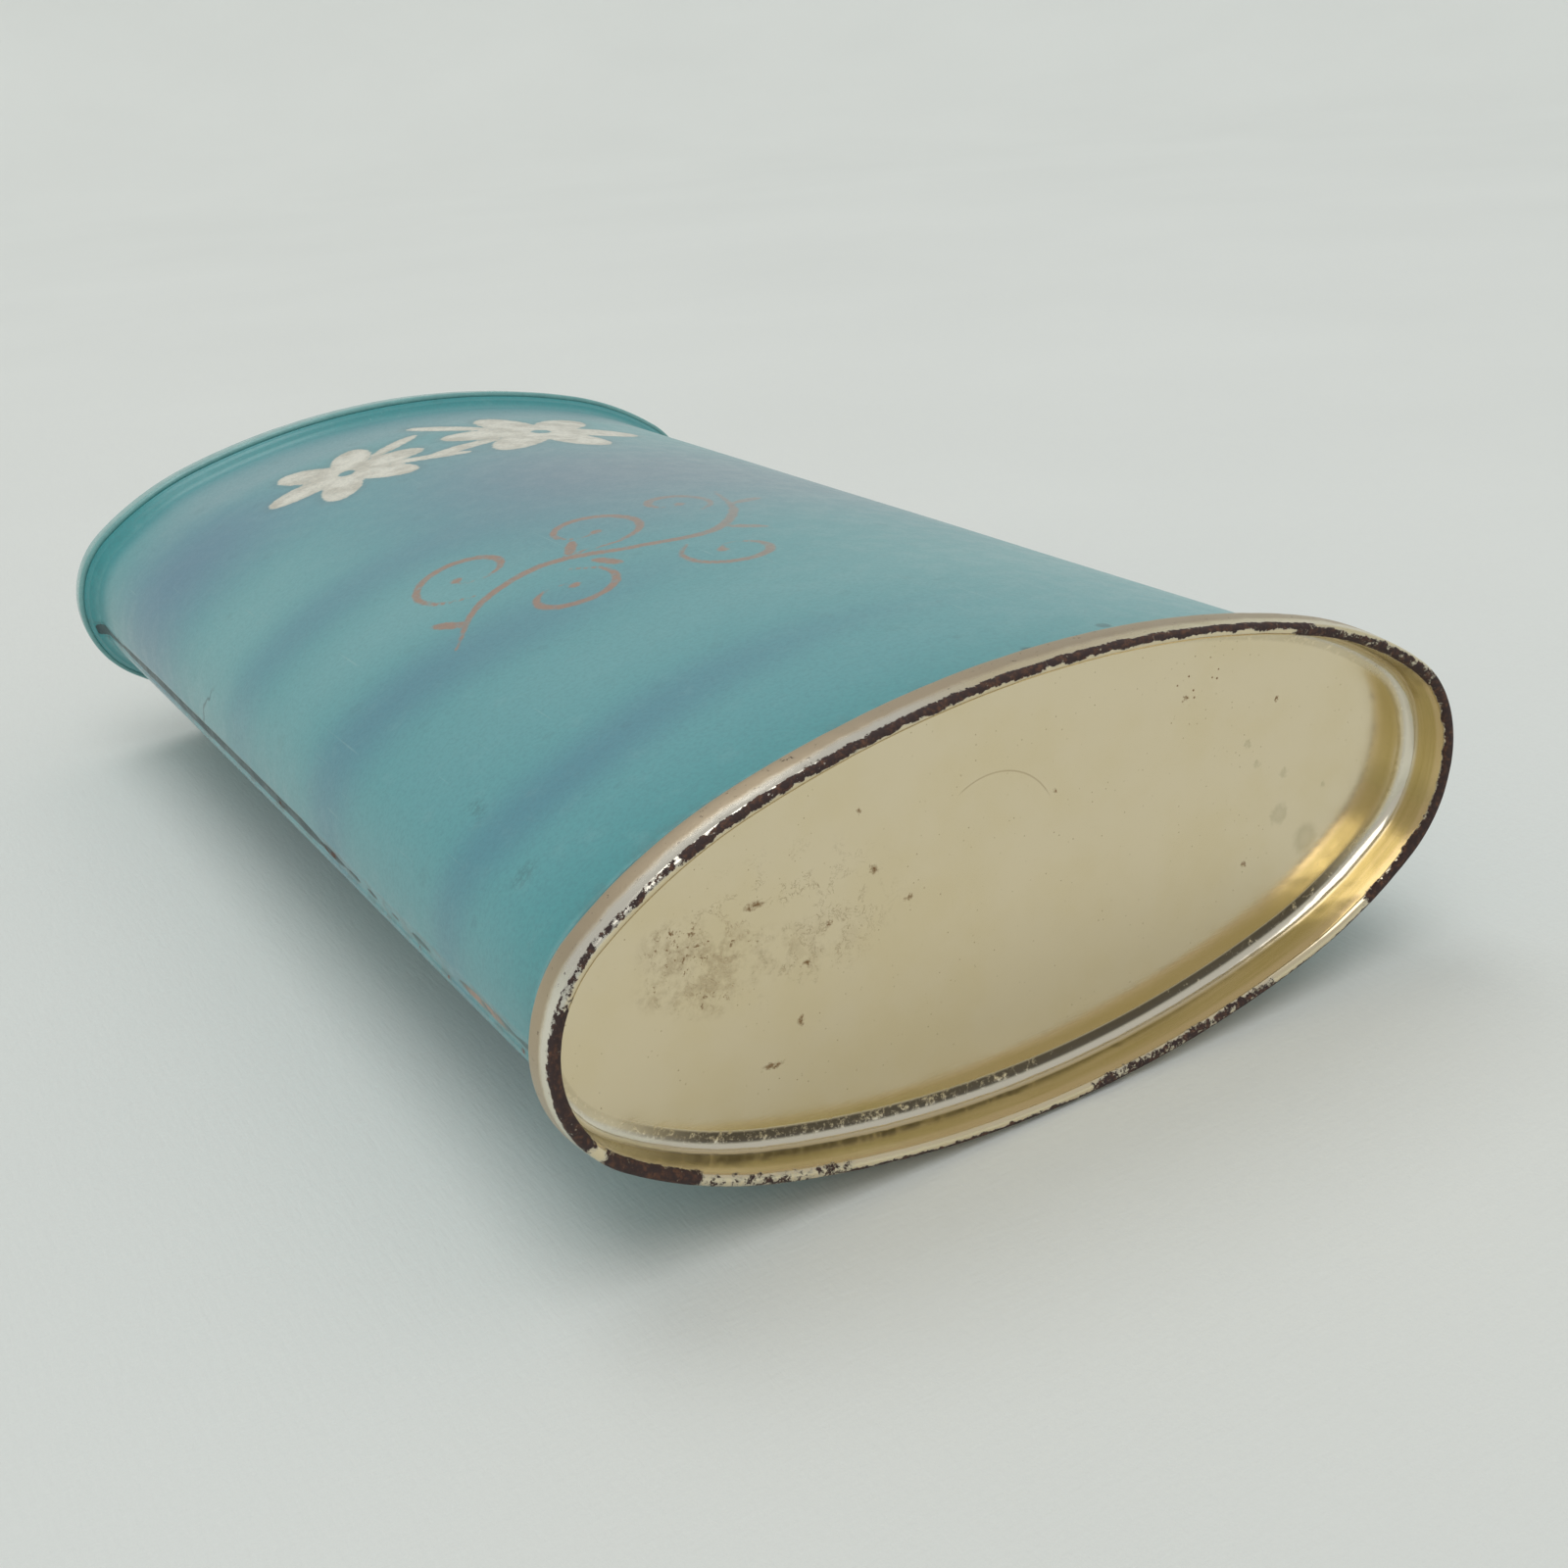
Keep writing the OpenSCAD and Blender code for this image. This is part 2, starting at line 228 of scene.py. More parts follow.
def mend(mesh, weld=0.0, fill=True, turn=True):
    """Welds points closer than weld, closes holes and turns the faces outward, as asked."""
    edit = bmesh.new()
    edit.from_mesh(mesh)
    if weld:
        bmesh.ops.remove_doubles(edit, verts=edit.verts, dist=weld * MM)
        bmesh.ops.dissolve_degenerate(edit, edges=edit.edges, dist=weld / 10 * MM)
    if fill:
        bmesh.ops.holes_fill(edit, edges=[e for e in edit.edges if e.is_boundary])
    if turn:
        bmesh.ops.recalc_face_normals(edit, faces=edit.faces)
    edit.to_mesh(mesh)
    edit.free()


def finished(name, mesh):
    """Cleans a new mesh, turns its faces outward, shades it and puts it in the scene."""
    mend(mesh, 1e-4, fill=False)
    mesh.polygons.foreach_set("use_smooth", [True] * len(mesh.polygons))
    mesh.set_sharp_from_angle(angle=SHARP_ANGLE)
    return linked(name, mesh)


def linked(name, data):
    """A new object in the scene."""
    made = bpy.data.objects.new(name, data)
    bpy.context.scene.collection.objects.link(made)
    return made


def cut(piece, cutters, operation="DIFFERENCE"):
    """Applies a boolean with throwaway cutter objects."""
    for cutter in cutters:
        modifier = piece.modifiers.new("cut", "BOOLEAN")
        modifier.operation = operation
        modifier.solver = "EXACT"
        modifier.object = cutter
    bpy.context.view_layer.update()
    shaped = piece.evaluated_get(bpy.context.evaluated_depsgraph_get())
    mesh = bpy.data.meshes.new_from_object(shaped)
    piece.modifiers.clear()
    piece.data = mesh
    mend(mesh, 1e-3, turn=False)
    mesh.set_sharp_from_angle(angle=SHARP_ANGLE)
    for cutter in cutters:
        bpy.data.objects.remove(cutter)


def prism(name, outline, low, high):
    """A closed prism along the tin's axis, over a flat outline (x, z from the axis)."""
    count = len(outline)
    points = np.concatenate([placed(outline, low), placed(outline, high)])
    sides = [(i, (i + 1) % count, count + (i + 1) % count, count + i) for i in range(count)]
    ends = [tuple(range(count)), tuple(range(2 * count - 1, count - 1, -1))]
    mesh = bpy.data.meshes.new(name)
    mesh.from_pydata((points * MM).tolist(), [], sides + ends)
    return finished(name, mesh)


def polar(radius, angle):
    """(x, z) from the axis, at an angle that turns the way the dial does."""
    angle = np.radians(angle)
    return np.stack([radius * np.cos(angle), -radius * np.sin(angle)], -1)


# ---------------------------------------------------------------- profiles

def end_path(panel_depth):
    """Middle of an end's sheet, as (out, depth), from the panel over the crest to the cover hook."""
    fillet = arc((panel_edge, panel_depth + SHEET / 2 - BOWL_RADIUS), BOWL_RADIUS, 90, 0, 16)
    wall_steps = 8
    chuck = np.linspace(fillet[-1], (chuck_layer, fold_depth), wall_steps + 1)[1:-1]
    crest = arc((seam_middle, fold_depth), CREST_RADIUS, 180, 360, 28)
    outer = np.linspace((-SHEET / 2, fold_depth), (-SHEET / 2, curl_depth), wall_steps + 1)[1:-1]
    hook = arc((seam_middle + hook_radius, curl_depth), hook_radius, 0, 180, 10)
    tongue = [(seam_middle, curl_depth - 1.2)]
    return np.concatenate([fillet, chuck, crest, outer, hook, tongue])


def crest_lengths(path):
    """Length along a rim's path from the crest's top: positive inward, negative down the outside."""
    length = path_sides(path)[1]
    top = np.argmin(path[:, 1])
    return length[top] - length


def body_path(panel_depth):
    """Middle of the body's sheet, as (out, depth), from its hook over the fold and in to the wall."""
    start = panel_depth - FILLET_RADIUS + SHEET
    end = start + (flare_radius + flare_turn) * math.sin(FLARE_ANGLE)
    slope = math.degrees(FLARE_ANGLE)
    return np.concatenate([
        [(seam_middle + hook_radius, curl_depth - SHEET / 2)],
        arc((seam_middle, body_fold_depth), hook_radius, 360, 180, 10),
        arc((body_layer - flare_turn, start), flare_turn, 0, slope, 10),
        arc((wall_middle + flare_radius, end), flare_radius, 180 + slope, 180, 18)[1:],
    ])


# ---------------------------------------------------------------- the print's two designs

def ellipse_distance(x, y, centre, radii, turn):
    """Roughly the distance outside an ellipse, negative inside."""
    c, s = math.cos(math.radians(turn)), math.sin(math.radians(turn))
    px, py = x - centre[0], y - centre[1]
    px, py = px * c + py * s, py * c - px * s
    inner = np.hypot(px / radii[0], py / radii[1])
    slope = np.hypot(px / radii[0] ** 2, py / radii[1] ** 2) + 1e-9
    return inner * (inner - 1) / slope


def stroke_distance(x, y, points, widths):
    """Distance outside a brush stroke through smooth points whose half width swells and tapers."""
    points = np.array(points, float)
    knots = np.arange(len(points))
    fine = np.linspace(0, len(points) - 1, 30 * (len(points) - 1) + 1)
    path = np.stack([smooth_through(points[:, k], fine) for k in (0, 1)], 1)
    half = np.interp(fine, knots, widths)
    nearest = np.full(x.shape, 1e3)
    for (px, py), r in zip(path, half):
        nearest = np.minimum(nearest, np.hypot(x - px, y - py) - r)
    return nearest


def smooth_through(values, fine):
    """A Catmull-Rom curve through values that are one step apart."""
    padded = np.concatenate([[2 * values[0] - values[1]], values, [2 * values[-1] - values[-2]]])
    i = np.minimum(fine.astype(int), len(values) - 2)
    t = fine - i
    a, b, c, d = (padded[i + k] for k in range(4))
    bend, twist = 2 * a - 5 * b + 4 * c - d, 3 * b - a - 3 * c + d
    return 0.5 * (2 * b + (c - a) * t + bend * t ** 2 + twist * t ** 3)


def blossom_distance(x, y, centre, size, turn):
    """A plain blossom of six petals parted by thin gaps, with two leaves behind it."""
    petals, petal_turn = 6, 60

    def oval(angle, reach, long, short):
        middle = centre + reach * size * heading(angle)
        return ellipse_distance(x, y, middle, (long * size, short * size), angle)

    nearest = oval(0, 0, 0.24, 0.24)
    for k in range(petals):
        nearest = np.minimum(nearest, oval(turn + k * petal_turn, 0.52, 0.44, 0.23))
    nearest = np.maximum(nearest, -oval(0, 0, 0.1, 0.1))
    for lean in (-30, 30):
        nearest = np.minimum(nearest, oval(turn + 180 + lean, 0.95, 0.46, 0.1))
    return nearest


def heading(angle):
    """The unit vector at an angle in degrees."""
    return np.array([math.cos(math.radians(angle)), math.sin(math.radians(angle))])


def motif_distance(around, height):
    """Two cream blossoms near the top of the front."""
    left = blossom_distance(around, height, np.array([-11.5, 92.5]), 8.6, 185)
    right = blossom_distance(around, height, np.array([9.0, 92.5]), 10.4, -15)
    return np.minimum(left, right)


def curl_distance(x, y, centre, radius, start, sweep):
    """Distance outside a spiral curl that winds in from its radius and ends in a bud."""
    share = np.linspace(0, 1, 12)
    turn = np.radians(start + sweep * share)
    reach = radius * (1 - 0.78 * share)
    points = np.array(centre) + np.stack([reach * np.cos(turn), reach * np.sin(turn)], 1)
    widths = 0.12 + 0.3 * np.sin(math.pi * np.clip(share * 1.25, 0, 1))
    bud = ellipse_distance(x, y, points[-1], (0.5, 0.5), 0)
    return np.minimum(stroke_distance(x, y, points, widths), bud)


def flourish_distance(around, height):
    """A copper vine under the blossoms: a waving stem with spiral curls and small leaves."""
    stem = [(-22, 41), (-17.5, 46.5), (-11, 48.5), (-4.5, 45.5), (1.5, 44.5), (6.5, 49.5), (9, 57)]
    nearest = stroke_distance(around, height, stem, [0.1, 0.4, 0.5, 0.42, 0.48, 0.4, 0.1])
    curls = [((-15.5, 53.2), 5.2, 255, -430), ((-5.2, 53), 5.4, 232, 420), ((-12.5, 41.6), 4.6, 62, -400),
             ((0.5, 38.8), 4.4, 118, 400), ((3.6, 54.8), 3.6, 285, 380)]
    for curl in curls:
        nearest = np.minimum(nearest, curl_distance(around, height, *curl))
    leaves = [((-20.6, 45.6), 120), ((-8, 50), 60), ((-7.6, 44.4), -70), ((4.6, 44), -40),
              ((9.6, 52.6), 20)]
    for centre, turn in leaves:
        nearest = np.minimum(nearest, ellipse_distance(around, height, centre, (1.7, 0.5), turn))
    return nearest


# ---------------------------------------------------------------- the pieces' meshes

def seam_around():
    """Distance around the wall at which the side seam lies."""
    directions = oval_directions(*WALL_STEPS)
    return float(np.interp(SEAM_DIRECTION, directions, Stations(directions).around))


def wall_ends():
    """Middle of the body's sheet at the foot and at the head, both upward, as (out, height)."""
    return body_path(BOTTOM_DEPTH), body_path(TOP_DEPTH)[::-1] * [1, -1] + [0, tin_height]


def make_body_wall():
    """The body's sheet, hooked at both rims, flared inside them and folded along its side seam."""
    reach, step = 13, 0.5
    close = np.arange(SEAM_DIRECTION - reach, SEAM_DIRECTION + reach, step)
    directions = oval_directions(*WALL_STEPS)
    far = np.abs(directions - SEAM_DIRECTION) > reach
    directions = np.sort(np.concatenate([directions[far], close]))
    stations = Stations(directions)
    from_seam = stations.around - np.interp(SEAM_DIRECTION, directions, stations.around)

    foot, head = wall_ends()
    fine, coarse, print_low, print_high = 0.5, 1.2, 32, 108
    plain = np.arange(foot[-1, 1] + coarse, print_low, coarse)
    wall = np.concatenate([plain, np.arange(print_low, print_high, fine)])
    wall = np.stack([np.full(len(wall), wall_middle), wall], 1)
    outside = np.concatenate([foot, wall, head])
    inside = np.concatenate([foot, head])

    groove_edge, groove_depth, shoulder_rise, shoulder_width = 0.12, 0.1, 0.04, 0.35
    from_groove = np.abs(from_seam) - GROOVE_WIDTH / 2
    groove = 1 - np.clip(from_groove / groove_edge, 0, 1)
    shoulder = np.exp(-((from_groove - 1.2 * shoulder_width) / shoulder_width) ** 2)
    worked = groove_depth * groove - shoulder_rise * shoulder - 0.05
    flare_gap, flare_fill, flare_width = 0.12, 0.14, 0.16

    rings, spots = [], []
    for (out, height), normal in zip(outside, path_sides(outside)[0]):
        in_wall = BOTTOM_DEPTH < height < tin_height - TOP_DEPTH
        flat = stations.ring(out, height)
        dents = 0.05 * wavy(flat[::4], 0.035, 3)
        dents = np.interp(np.arange(len(flat)), np.arange(0, len(flat), 4), dents)
        below_seam = min(height, tin_height - height) - SEAM_HEIGHT - flare_gap
        filled = flare_fill * math.exp(-(below_seam / flare_width) ** 2)
        away = in_wall * (worked - dents) - SHEET / 2 - filled
        rings.append(stations.ring(out + away * normal[0], height + away * normal[1]))
        spots.append(np.stack([stations.around, np.full(len(flat), height)], 1))
    for (out, height), normal in zip(inside[::-1], path_sides(inside)[0][::-1]):
        rings.append(stations.ring(out + SHEET / 2 * normal[0], height + SHEET / 2 * normal[1]))
        spots.append(np.full((len(stations.around), 2), NO_PRINT))
    along = np.concatenate([outside[:, 1], inside[::-1, 1]])
    piece = loft("printed_body_wall", rings, stations.lap, along, True)
    lay_print(piece, np.concatenate(spots))
    return piece


def lay_print(piece, spots):
    """Gives each vertex its distance from the blossoms and the flourish, in millimetres."""
    far = 4
    around, height = spots.T
    near = (np.abs(around) < 30) & (height < 112)
    if len(piece.data.vertices) != len(spots):
        raise RuntimeError("the wall's mesh lost vertices, so the print can't be laid on it")
    for name, design in (("motif", motif_distance), ("flourish", flourish_distance)):
        distance = np.full(len(spots), far, np.float32)
        distance[near] = np.minimum(design(around[near], height[near]), far)
        attribute = piece.data.attributes.new(name, "FLOAT", "POINT")
        attribute.data.foreach_set("value", distance)


def rim_rings(stations, path, upward, uneven):
    """Rings down one end's outside from its panel's edge, and back up its inside, with their lengths."""
    base, sign = (tin_height, -1) if upward else (0, 1)
    lengths = crest_lengths(path)
    rounding, rounded_height, rounded_from = 0.24, 2.2, 0.63
    fading = np.clip(1 - path[:, 1] / rounded_height, 0, 1) ** 2
    insets = rounding * fading * np.clip(-lengths / rounded_from, 0, 1)
    front, back = [], []
    for (out, depth), normal, inset in zip(path, path_sides(path)[0], insets):
        start = stations.ring(out, base + sign * depth)
        wear = uneven * (wavy(start, 0.22, 5) + 0.6 * wavy(start, 0.9, 6))
        for rings, away in ((front, np.maximum(wear, 0) - SHEET / 2), (back, SHEET / 2)):
            height = base + sign * (depth + away * normal[1])
            rings.append(stations.ring(out + away * normal[0] - inset, height))
    return front, lengths, back[::-1], lengths[::-1]


def panel_ring(stations, share, height):
    """A ring of the flat panel: share 0 is its edge, and 1 is folded flat onto the long axis."""
    edge = stations.outline + panel_edge * stations.normal
    core = half_width - END_RADIUS
    across = np.clip(edge[:, 0] * core / (half_width + panel_edge), -core, core)
    fold = np.stack([across, 0 * across], 1)
    return placed(edge + share * (fold - edge), height)


def make_bottom_end():
    """The bottom end: panel, chuck wall and the double seam's outside, with small dents in the crest."""
    stations = Stations(oval_directions(90, 50, 140, 140))
    rings, along, back, back_along = rim_rings(stations, end_path(BOTTOM_DEPTH), False, 0.035)
    panel_rows = 22
    shares = np.linspace(0, 1, panel_rows + 1)[1:]
    face, under = [], []
    for share in shares:
        flat = panel_ring(stations, share, BOTTOM_DEPTH)
        swell = 0.045 * min(1, 4 * share) * wavy(flat, 0.06, 8)
        face.append(flat + np.outer(swell, (0, 1, 0)))
        under.append(flat + np.outer(swell + SHEET, (0, 1, 0)))
    inward = along[0] + shares * (half_depth + panel_edge)
    chain = face[::-1] + rings + back + under
    lengths = np.concatenate([inward[::-1], along, back_along, inward])
    return loft("lacquered_bottom_end", chain, stations.lap, lengths, False)


def circle(stations, radius):
    """(x, z) on a circle about the tin's axis, in the directions of the oval's stations."""
    turn = np.arctan2(stations.outline[:, 0], stations.outline[:, 1])
    return radius * np.stack([np.sin(turn), np.cos(turn)], 1)


boss_top = tin_height + 2
BOSS_RADIUS, BOSS_CORNER, BOSS_FOOT = 10.2, 0.8, 0.7
RIVET_RADIUS = 1.3
HOLE_RADIUS, HOLE_RING, HOLES = 1.0, 6.2, 6
STOP_RADIUS, STOP_PIN, STOP_ANGLE, TRAVEL = 8.6, 0.5, 195, 30


def disc(turn, radius, size, sides):
    """The outline of a small circle that stands off the tin's axis."""
    return polar(radius, turn) + polar(size, np.linspace(0, 360, sides, endpoint=False))


def hole_cutters(turn, level):
    """Prisms for the ring of sifter holes."""
    made = []
    for k in range(HOLES):
        outline = disc(turn + k * 360 / HOLES, HOLE_RING, HOLE_RADIUS, 40)
        made.append(prism(f"hole_{k}", outline, level - 1, level + 1))
    return made


def make_top_end():
    """The top end: double seam, sunk panel and raised boss with its sifter holes and stop pin."""
    stations = Stations(oval_directions(70, 40, 120, 120))
    rings, along, back, back_along = rim_rings(stations, end_path(TOP_DEPTH), True, 0.025)
    panel_top = tin_height - TOP_DEPTH
    middle_top, middle_foot = boss_top - SHEET / 2, panel_top - SHEET / 2
    foot_radius = BOSS_RADIUS - SHEET / 2 + BOSS_FOOT
    corner_middle = (BOSS_RADIUS - SHEET / 2 - BOSS_CORNER, middle_top - BOSS_CORNER)
    boss = np.concatenate([
        [(r, middle_top) for r in (RIVET_RADIUS, 3.5, 6, 8)],
        arc(corner_middle, BOSS_CORNER, 90, 0, 10),
        arc((foot_radius, middle_foot + BOSS_FOOT), BOSS_FOOT, 180, 270, 10),
    ])
    normals, lengths = path_sides(boss)
    edge, shares = stations.outline + panel_edge * stations.normal, np.linspace(0, 1, 10)[1:-1]
    foot = circle(stations, foot_radius)

    def skin(away, height):
        """Rings over the boss, on one side of its sheet, and on over the panel at a height."""
        over = [placed(circle(stations, r), y) for r, y in boss + away * normals]
        return over + [placed(foot + s * (edge - foot), height) for s in shares]

    boss_run, panel_run = 24, 12
    inner = along[0] + boss_run - lengths * 0.5
    across = along[0] + panel_run * (1 - shares)
    chain = skin(SHEET / 2, panel_top) + rings + back + skin(-SHEET / 2, panel_top - SHEET)[::-1]
    spread = np.concatenate([inner, across, along, back_along, across[::-1], inner[::-1]])
    piece = loft("teal_top_end", chain, stations.lap, spread, True)
    cut(piece, hole_cutters(0, boss_top))
    pin_outline = disc(STOP_ANGLE, STOP_RADIUS, STOP_PIN, 32)
    cut(piece, [prism("stop_pin", pin_outline, boss_top - SHEET / 2, boss_top + 0.45)], "UNION")
    return piece


def make_solder():
    """The tinned strip in the side seam: a low, uneven bead that follows the wall from rim to rim."""
    half, columns = GROOVE_WIDTH / 2, 13
    across = np.linspace(-half, half, columns)
    line = np.concatenate(wall_ends())
    line = line[np.argsort(line[:, 1], kind="stable")]
    low, high, step = BOTTOM_DEPTH, tin_height - TOP_DEPTH, 0.4
    heights = np.arange(low, high, step)
    keep = (line[:, 1] > low - 1) & (line[:, 1] < high + 1)
    out = np.interp(heights, line[keep, 1], line[keep, 0]) + SHEET / 2
    sunk, crown_rise, foot_depth = 0.1, 0.07, 0.12
    rings = []
    for height, set_out in zip(heights, out):
        width = 1 + 0.07 * wavy([(height, 0, 0)], 0.5, 11)[0]
        lump = 0.03 * wavy([(height, 7, 0)], 0.35, 12)[0]
        crown = (crown_rise + lump) * np.abs(np.cos(across / half * math.pi / 2)) ** 0.5
        directions = np.radians(SEAM_DIRECTION) + across * width / (END_RADIUS - WALL_INSET)
        flats = []
        for turn, rise in ((directions, crown - sunk), (directions[::-1], 0 * crown - foot_depth)):
            normal = np.stack([np.sin(turn), np.cos(turn)], 1)
            flats.append([-end_centre[0], 0] + (END_RADIUS + set_out + rise)[:, None] * normal)
        rings.append(placed(np.concatenate(flats), height))
    lap = np.concatenate([across, across[::-1], across[:1]])
    piece = loft("tinned_side_seam", rings, lap, heights, False)
    mend(piece.data)
    return piece


def make_dial():
    """The sifter dial: ribbed skirt, rounded thumb ridge, six holes and the stop's curved slot."""
    ribs, ridge_in, ridge_out, ridge_half, ridge_rise = 36, 4.2, 9.2, 1.05, 0.8
    sheet, bore, radius, corner, skirt, rib_rise = 0.3, 1.37, 11.2, 0.9, 2.8, 0.22
    dial_top = boss_top + 0.06 + sheet
    angles = np.linspace(0, 360, ribs * 14, endpoint=False)
    scallop = rib_rise * np.maximum(np.cos(np.radians(angles * ribs)), 0) ** 0.8

    def ridge(r):
        x, z = polar(r, angles).T
        beyond = np.hypot(x - np.clip(x, ridge_in, ridge_out), z)
        return ridge_rise * np.sqrt(np.clip(1 - (beyond / ridge_half) ** 2, 0, 1)) ** 0.9

    flat_radii = np.concatenate([[bore, 2, 2.9], np.arange(3.1, radius - corner, 0.17)])
    rows = [(r, dial_top + ridge(r), r) for r in flat_radii]
    corner_middle = (radius - corner, dial_top - corner)
    for r, height in arc(corner_middle, corner, 90, 0, 10)[1:]:
        swell = scallop * np.clip((dial_top - 0.5 - height) / 0.4, 0, 1)
        rows.append((r + swell, height, radius - corner + dial_top - height))
    for share in np.linspace(0, 1, 9)[1:]:
        down = share * (skirt - corner)
        fade = np.clip((1 - share) / 0.25, 0, 1)
        rows.append((radius + scallop * fade, dial_top - corner - down, radius + down))
    inside = [(radius - sheet, dial_top - skirt), (radius - sheet, dial_top - corner),
              *arc(corner_middle, corner - sheet, 0, 90, 8)[1:], (bore, dial_top - sheet)]
    rows += [(r, height, radius + skirt) for r, height in inside]
    rings = [placed(polar(r, angles), height) for r, height, _ in rows]
    lap = np.radians(np.append(angles, 360) - 180) * radius
    along = np.array([row[2] for row in rows])
    piece = loft("lacquered_sifter_dial", rings, lap, along, True)

    cut(piece, hole_cutters(180 / HOLES, dial_top))
    slot_half, steps = STOP_PIN + 0.1, 16
    start, end = STOP_ANGLE - TRAVEL, STOP_ANGLE

    def sweep(first, last):
        return np.linspace(first, last, steps)

    outline = np.concatenate([
        polar(STOP_RADIUS + slot_half, sweep(start, end)),
        polar(STOP_RADIUS, end) + polar(slot_half, sweep(end, end + 180))[1:-1],
        polar(STOP_RADIUS - slot_half, sweep(end, start)),
        polar(STOP_RADIUS, start) + polar(slot_half, sweep(start - 180, start))[1:-1],
    ])
    cut(piece, [prism("slot", outline, dial_top - 1, dial_top + 1)])
    return piece


def make_rivet():
    """The rivet: a hammered dome on the dial and a clinched end under the spring washer."""
    low, high = rivet_low.y - rim_y, rivet_high.y - rim_y
    head_radius, head_rim, head_rise = 2.6, 0.25, 0.5
    under_head = high - head_rise - head_rim
    clinch, clinch_height, shank = 2.1, 0.45, RIVET_RADIUS - 0.01
    angles = np.linspace(0, 360, 96, endpoint=False)
    turns = np.radians(np.linspace(0, 84, 14))
    dome = [(head_radius * math.sin(a), high - head_rise * (1 - math.cos(a))) for a in turns]
    profile = dome + [
        (head_radius, high - head_rise - 0.05), (head_radius, under_head + 0.05),
        (head_radius - 0.06, under_head), (shank, under_head), (shank, low + clinch_height),
        (clinch, low + clinch_height), (clinch, low + clinch_height / 2), (clinch * 0.7, low), (0, low),
    ]
    rings = []
    for r, height in profile:
        spots = placed(polar(r, angles), height)
        if height > high - head_rise:
            spots[:, 1] += np.minimum(0.03 * wavy(spots, 1.1, 21), 0)
        rings.append(spots)
    lap = np.radians(np.append(angles, 360) - 180) * head_radius
    return loft("domed_dial_rivet", rings, lap, np.arange(len(profile)), False)


# ---------------------------------------------------------------- materials

def srgb(red, green, blue):
    """A colour given as 0 to 255 screen values, in the linear values that shaders take."""
    shares = [c / 255 for c in (red, green, blue)]
    return (*[((c + 0.055) / 1.055) ** 2.4 if c > 0.04 else c / 12.92 for c in shares], 1.0)


class Value:
    """A number that a node gives out. Sums on it add math nodes."""

    def __init__(self, shader, socket):
        self.math, self.socket = shader.math, socket

    def __add__(self, other):
        return self.math("ADD", self, other)

    def __sub__(self, other):
        return self.math("SUBTRACT", self, other)

    def __rsub__(self, other):
        return self.math("SUBTRACT", other, self)

    def __mul__(self, other):
        return self.math("MULTIPLY", self, other)

    def __abs__(self):
        return self.math("ABSOLUTE", self)

    __radd__ = __add__


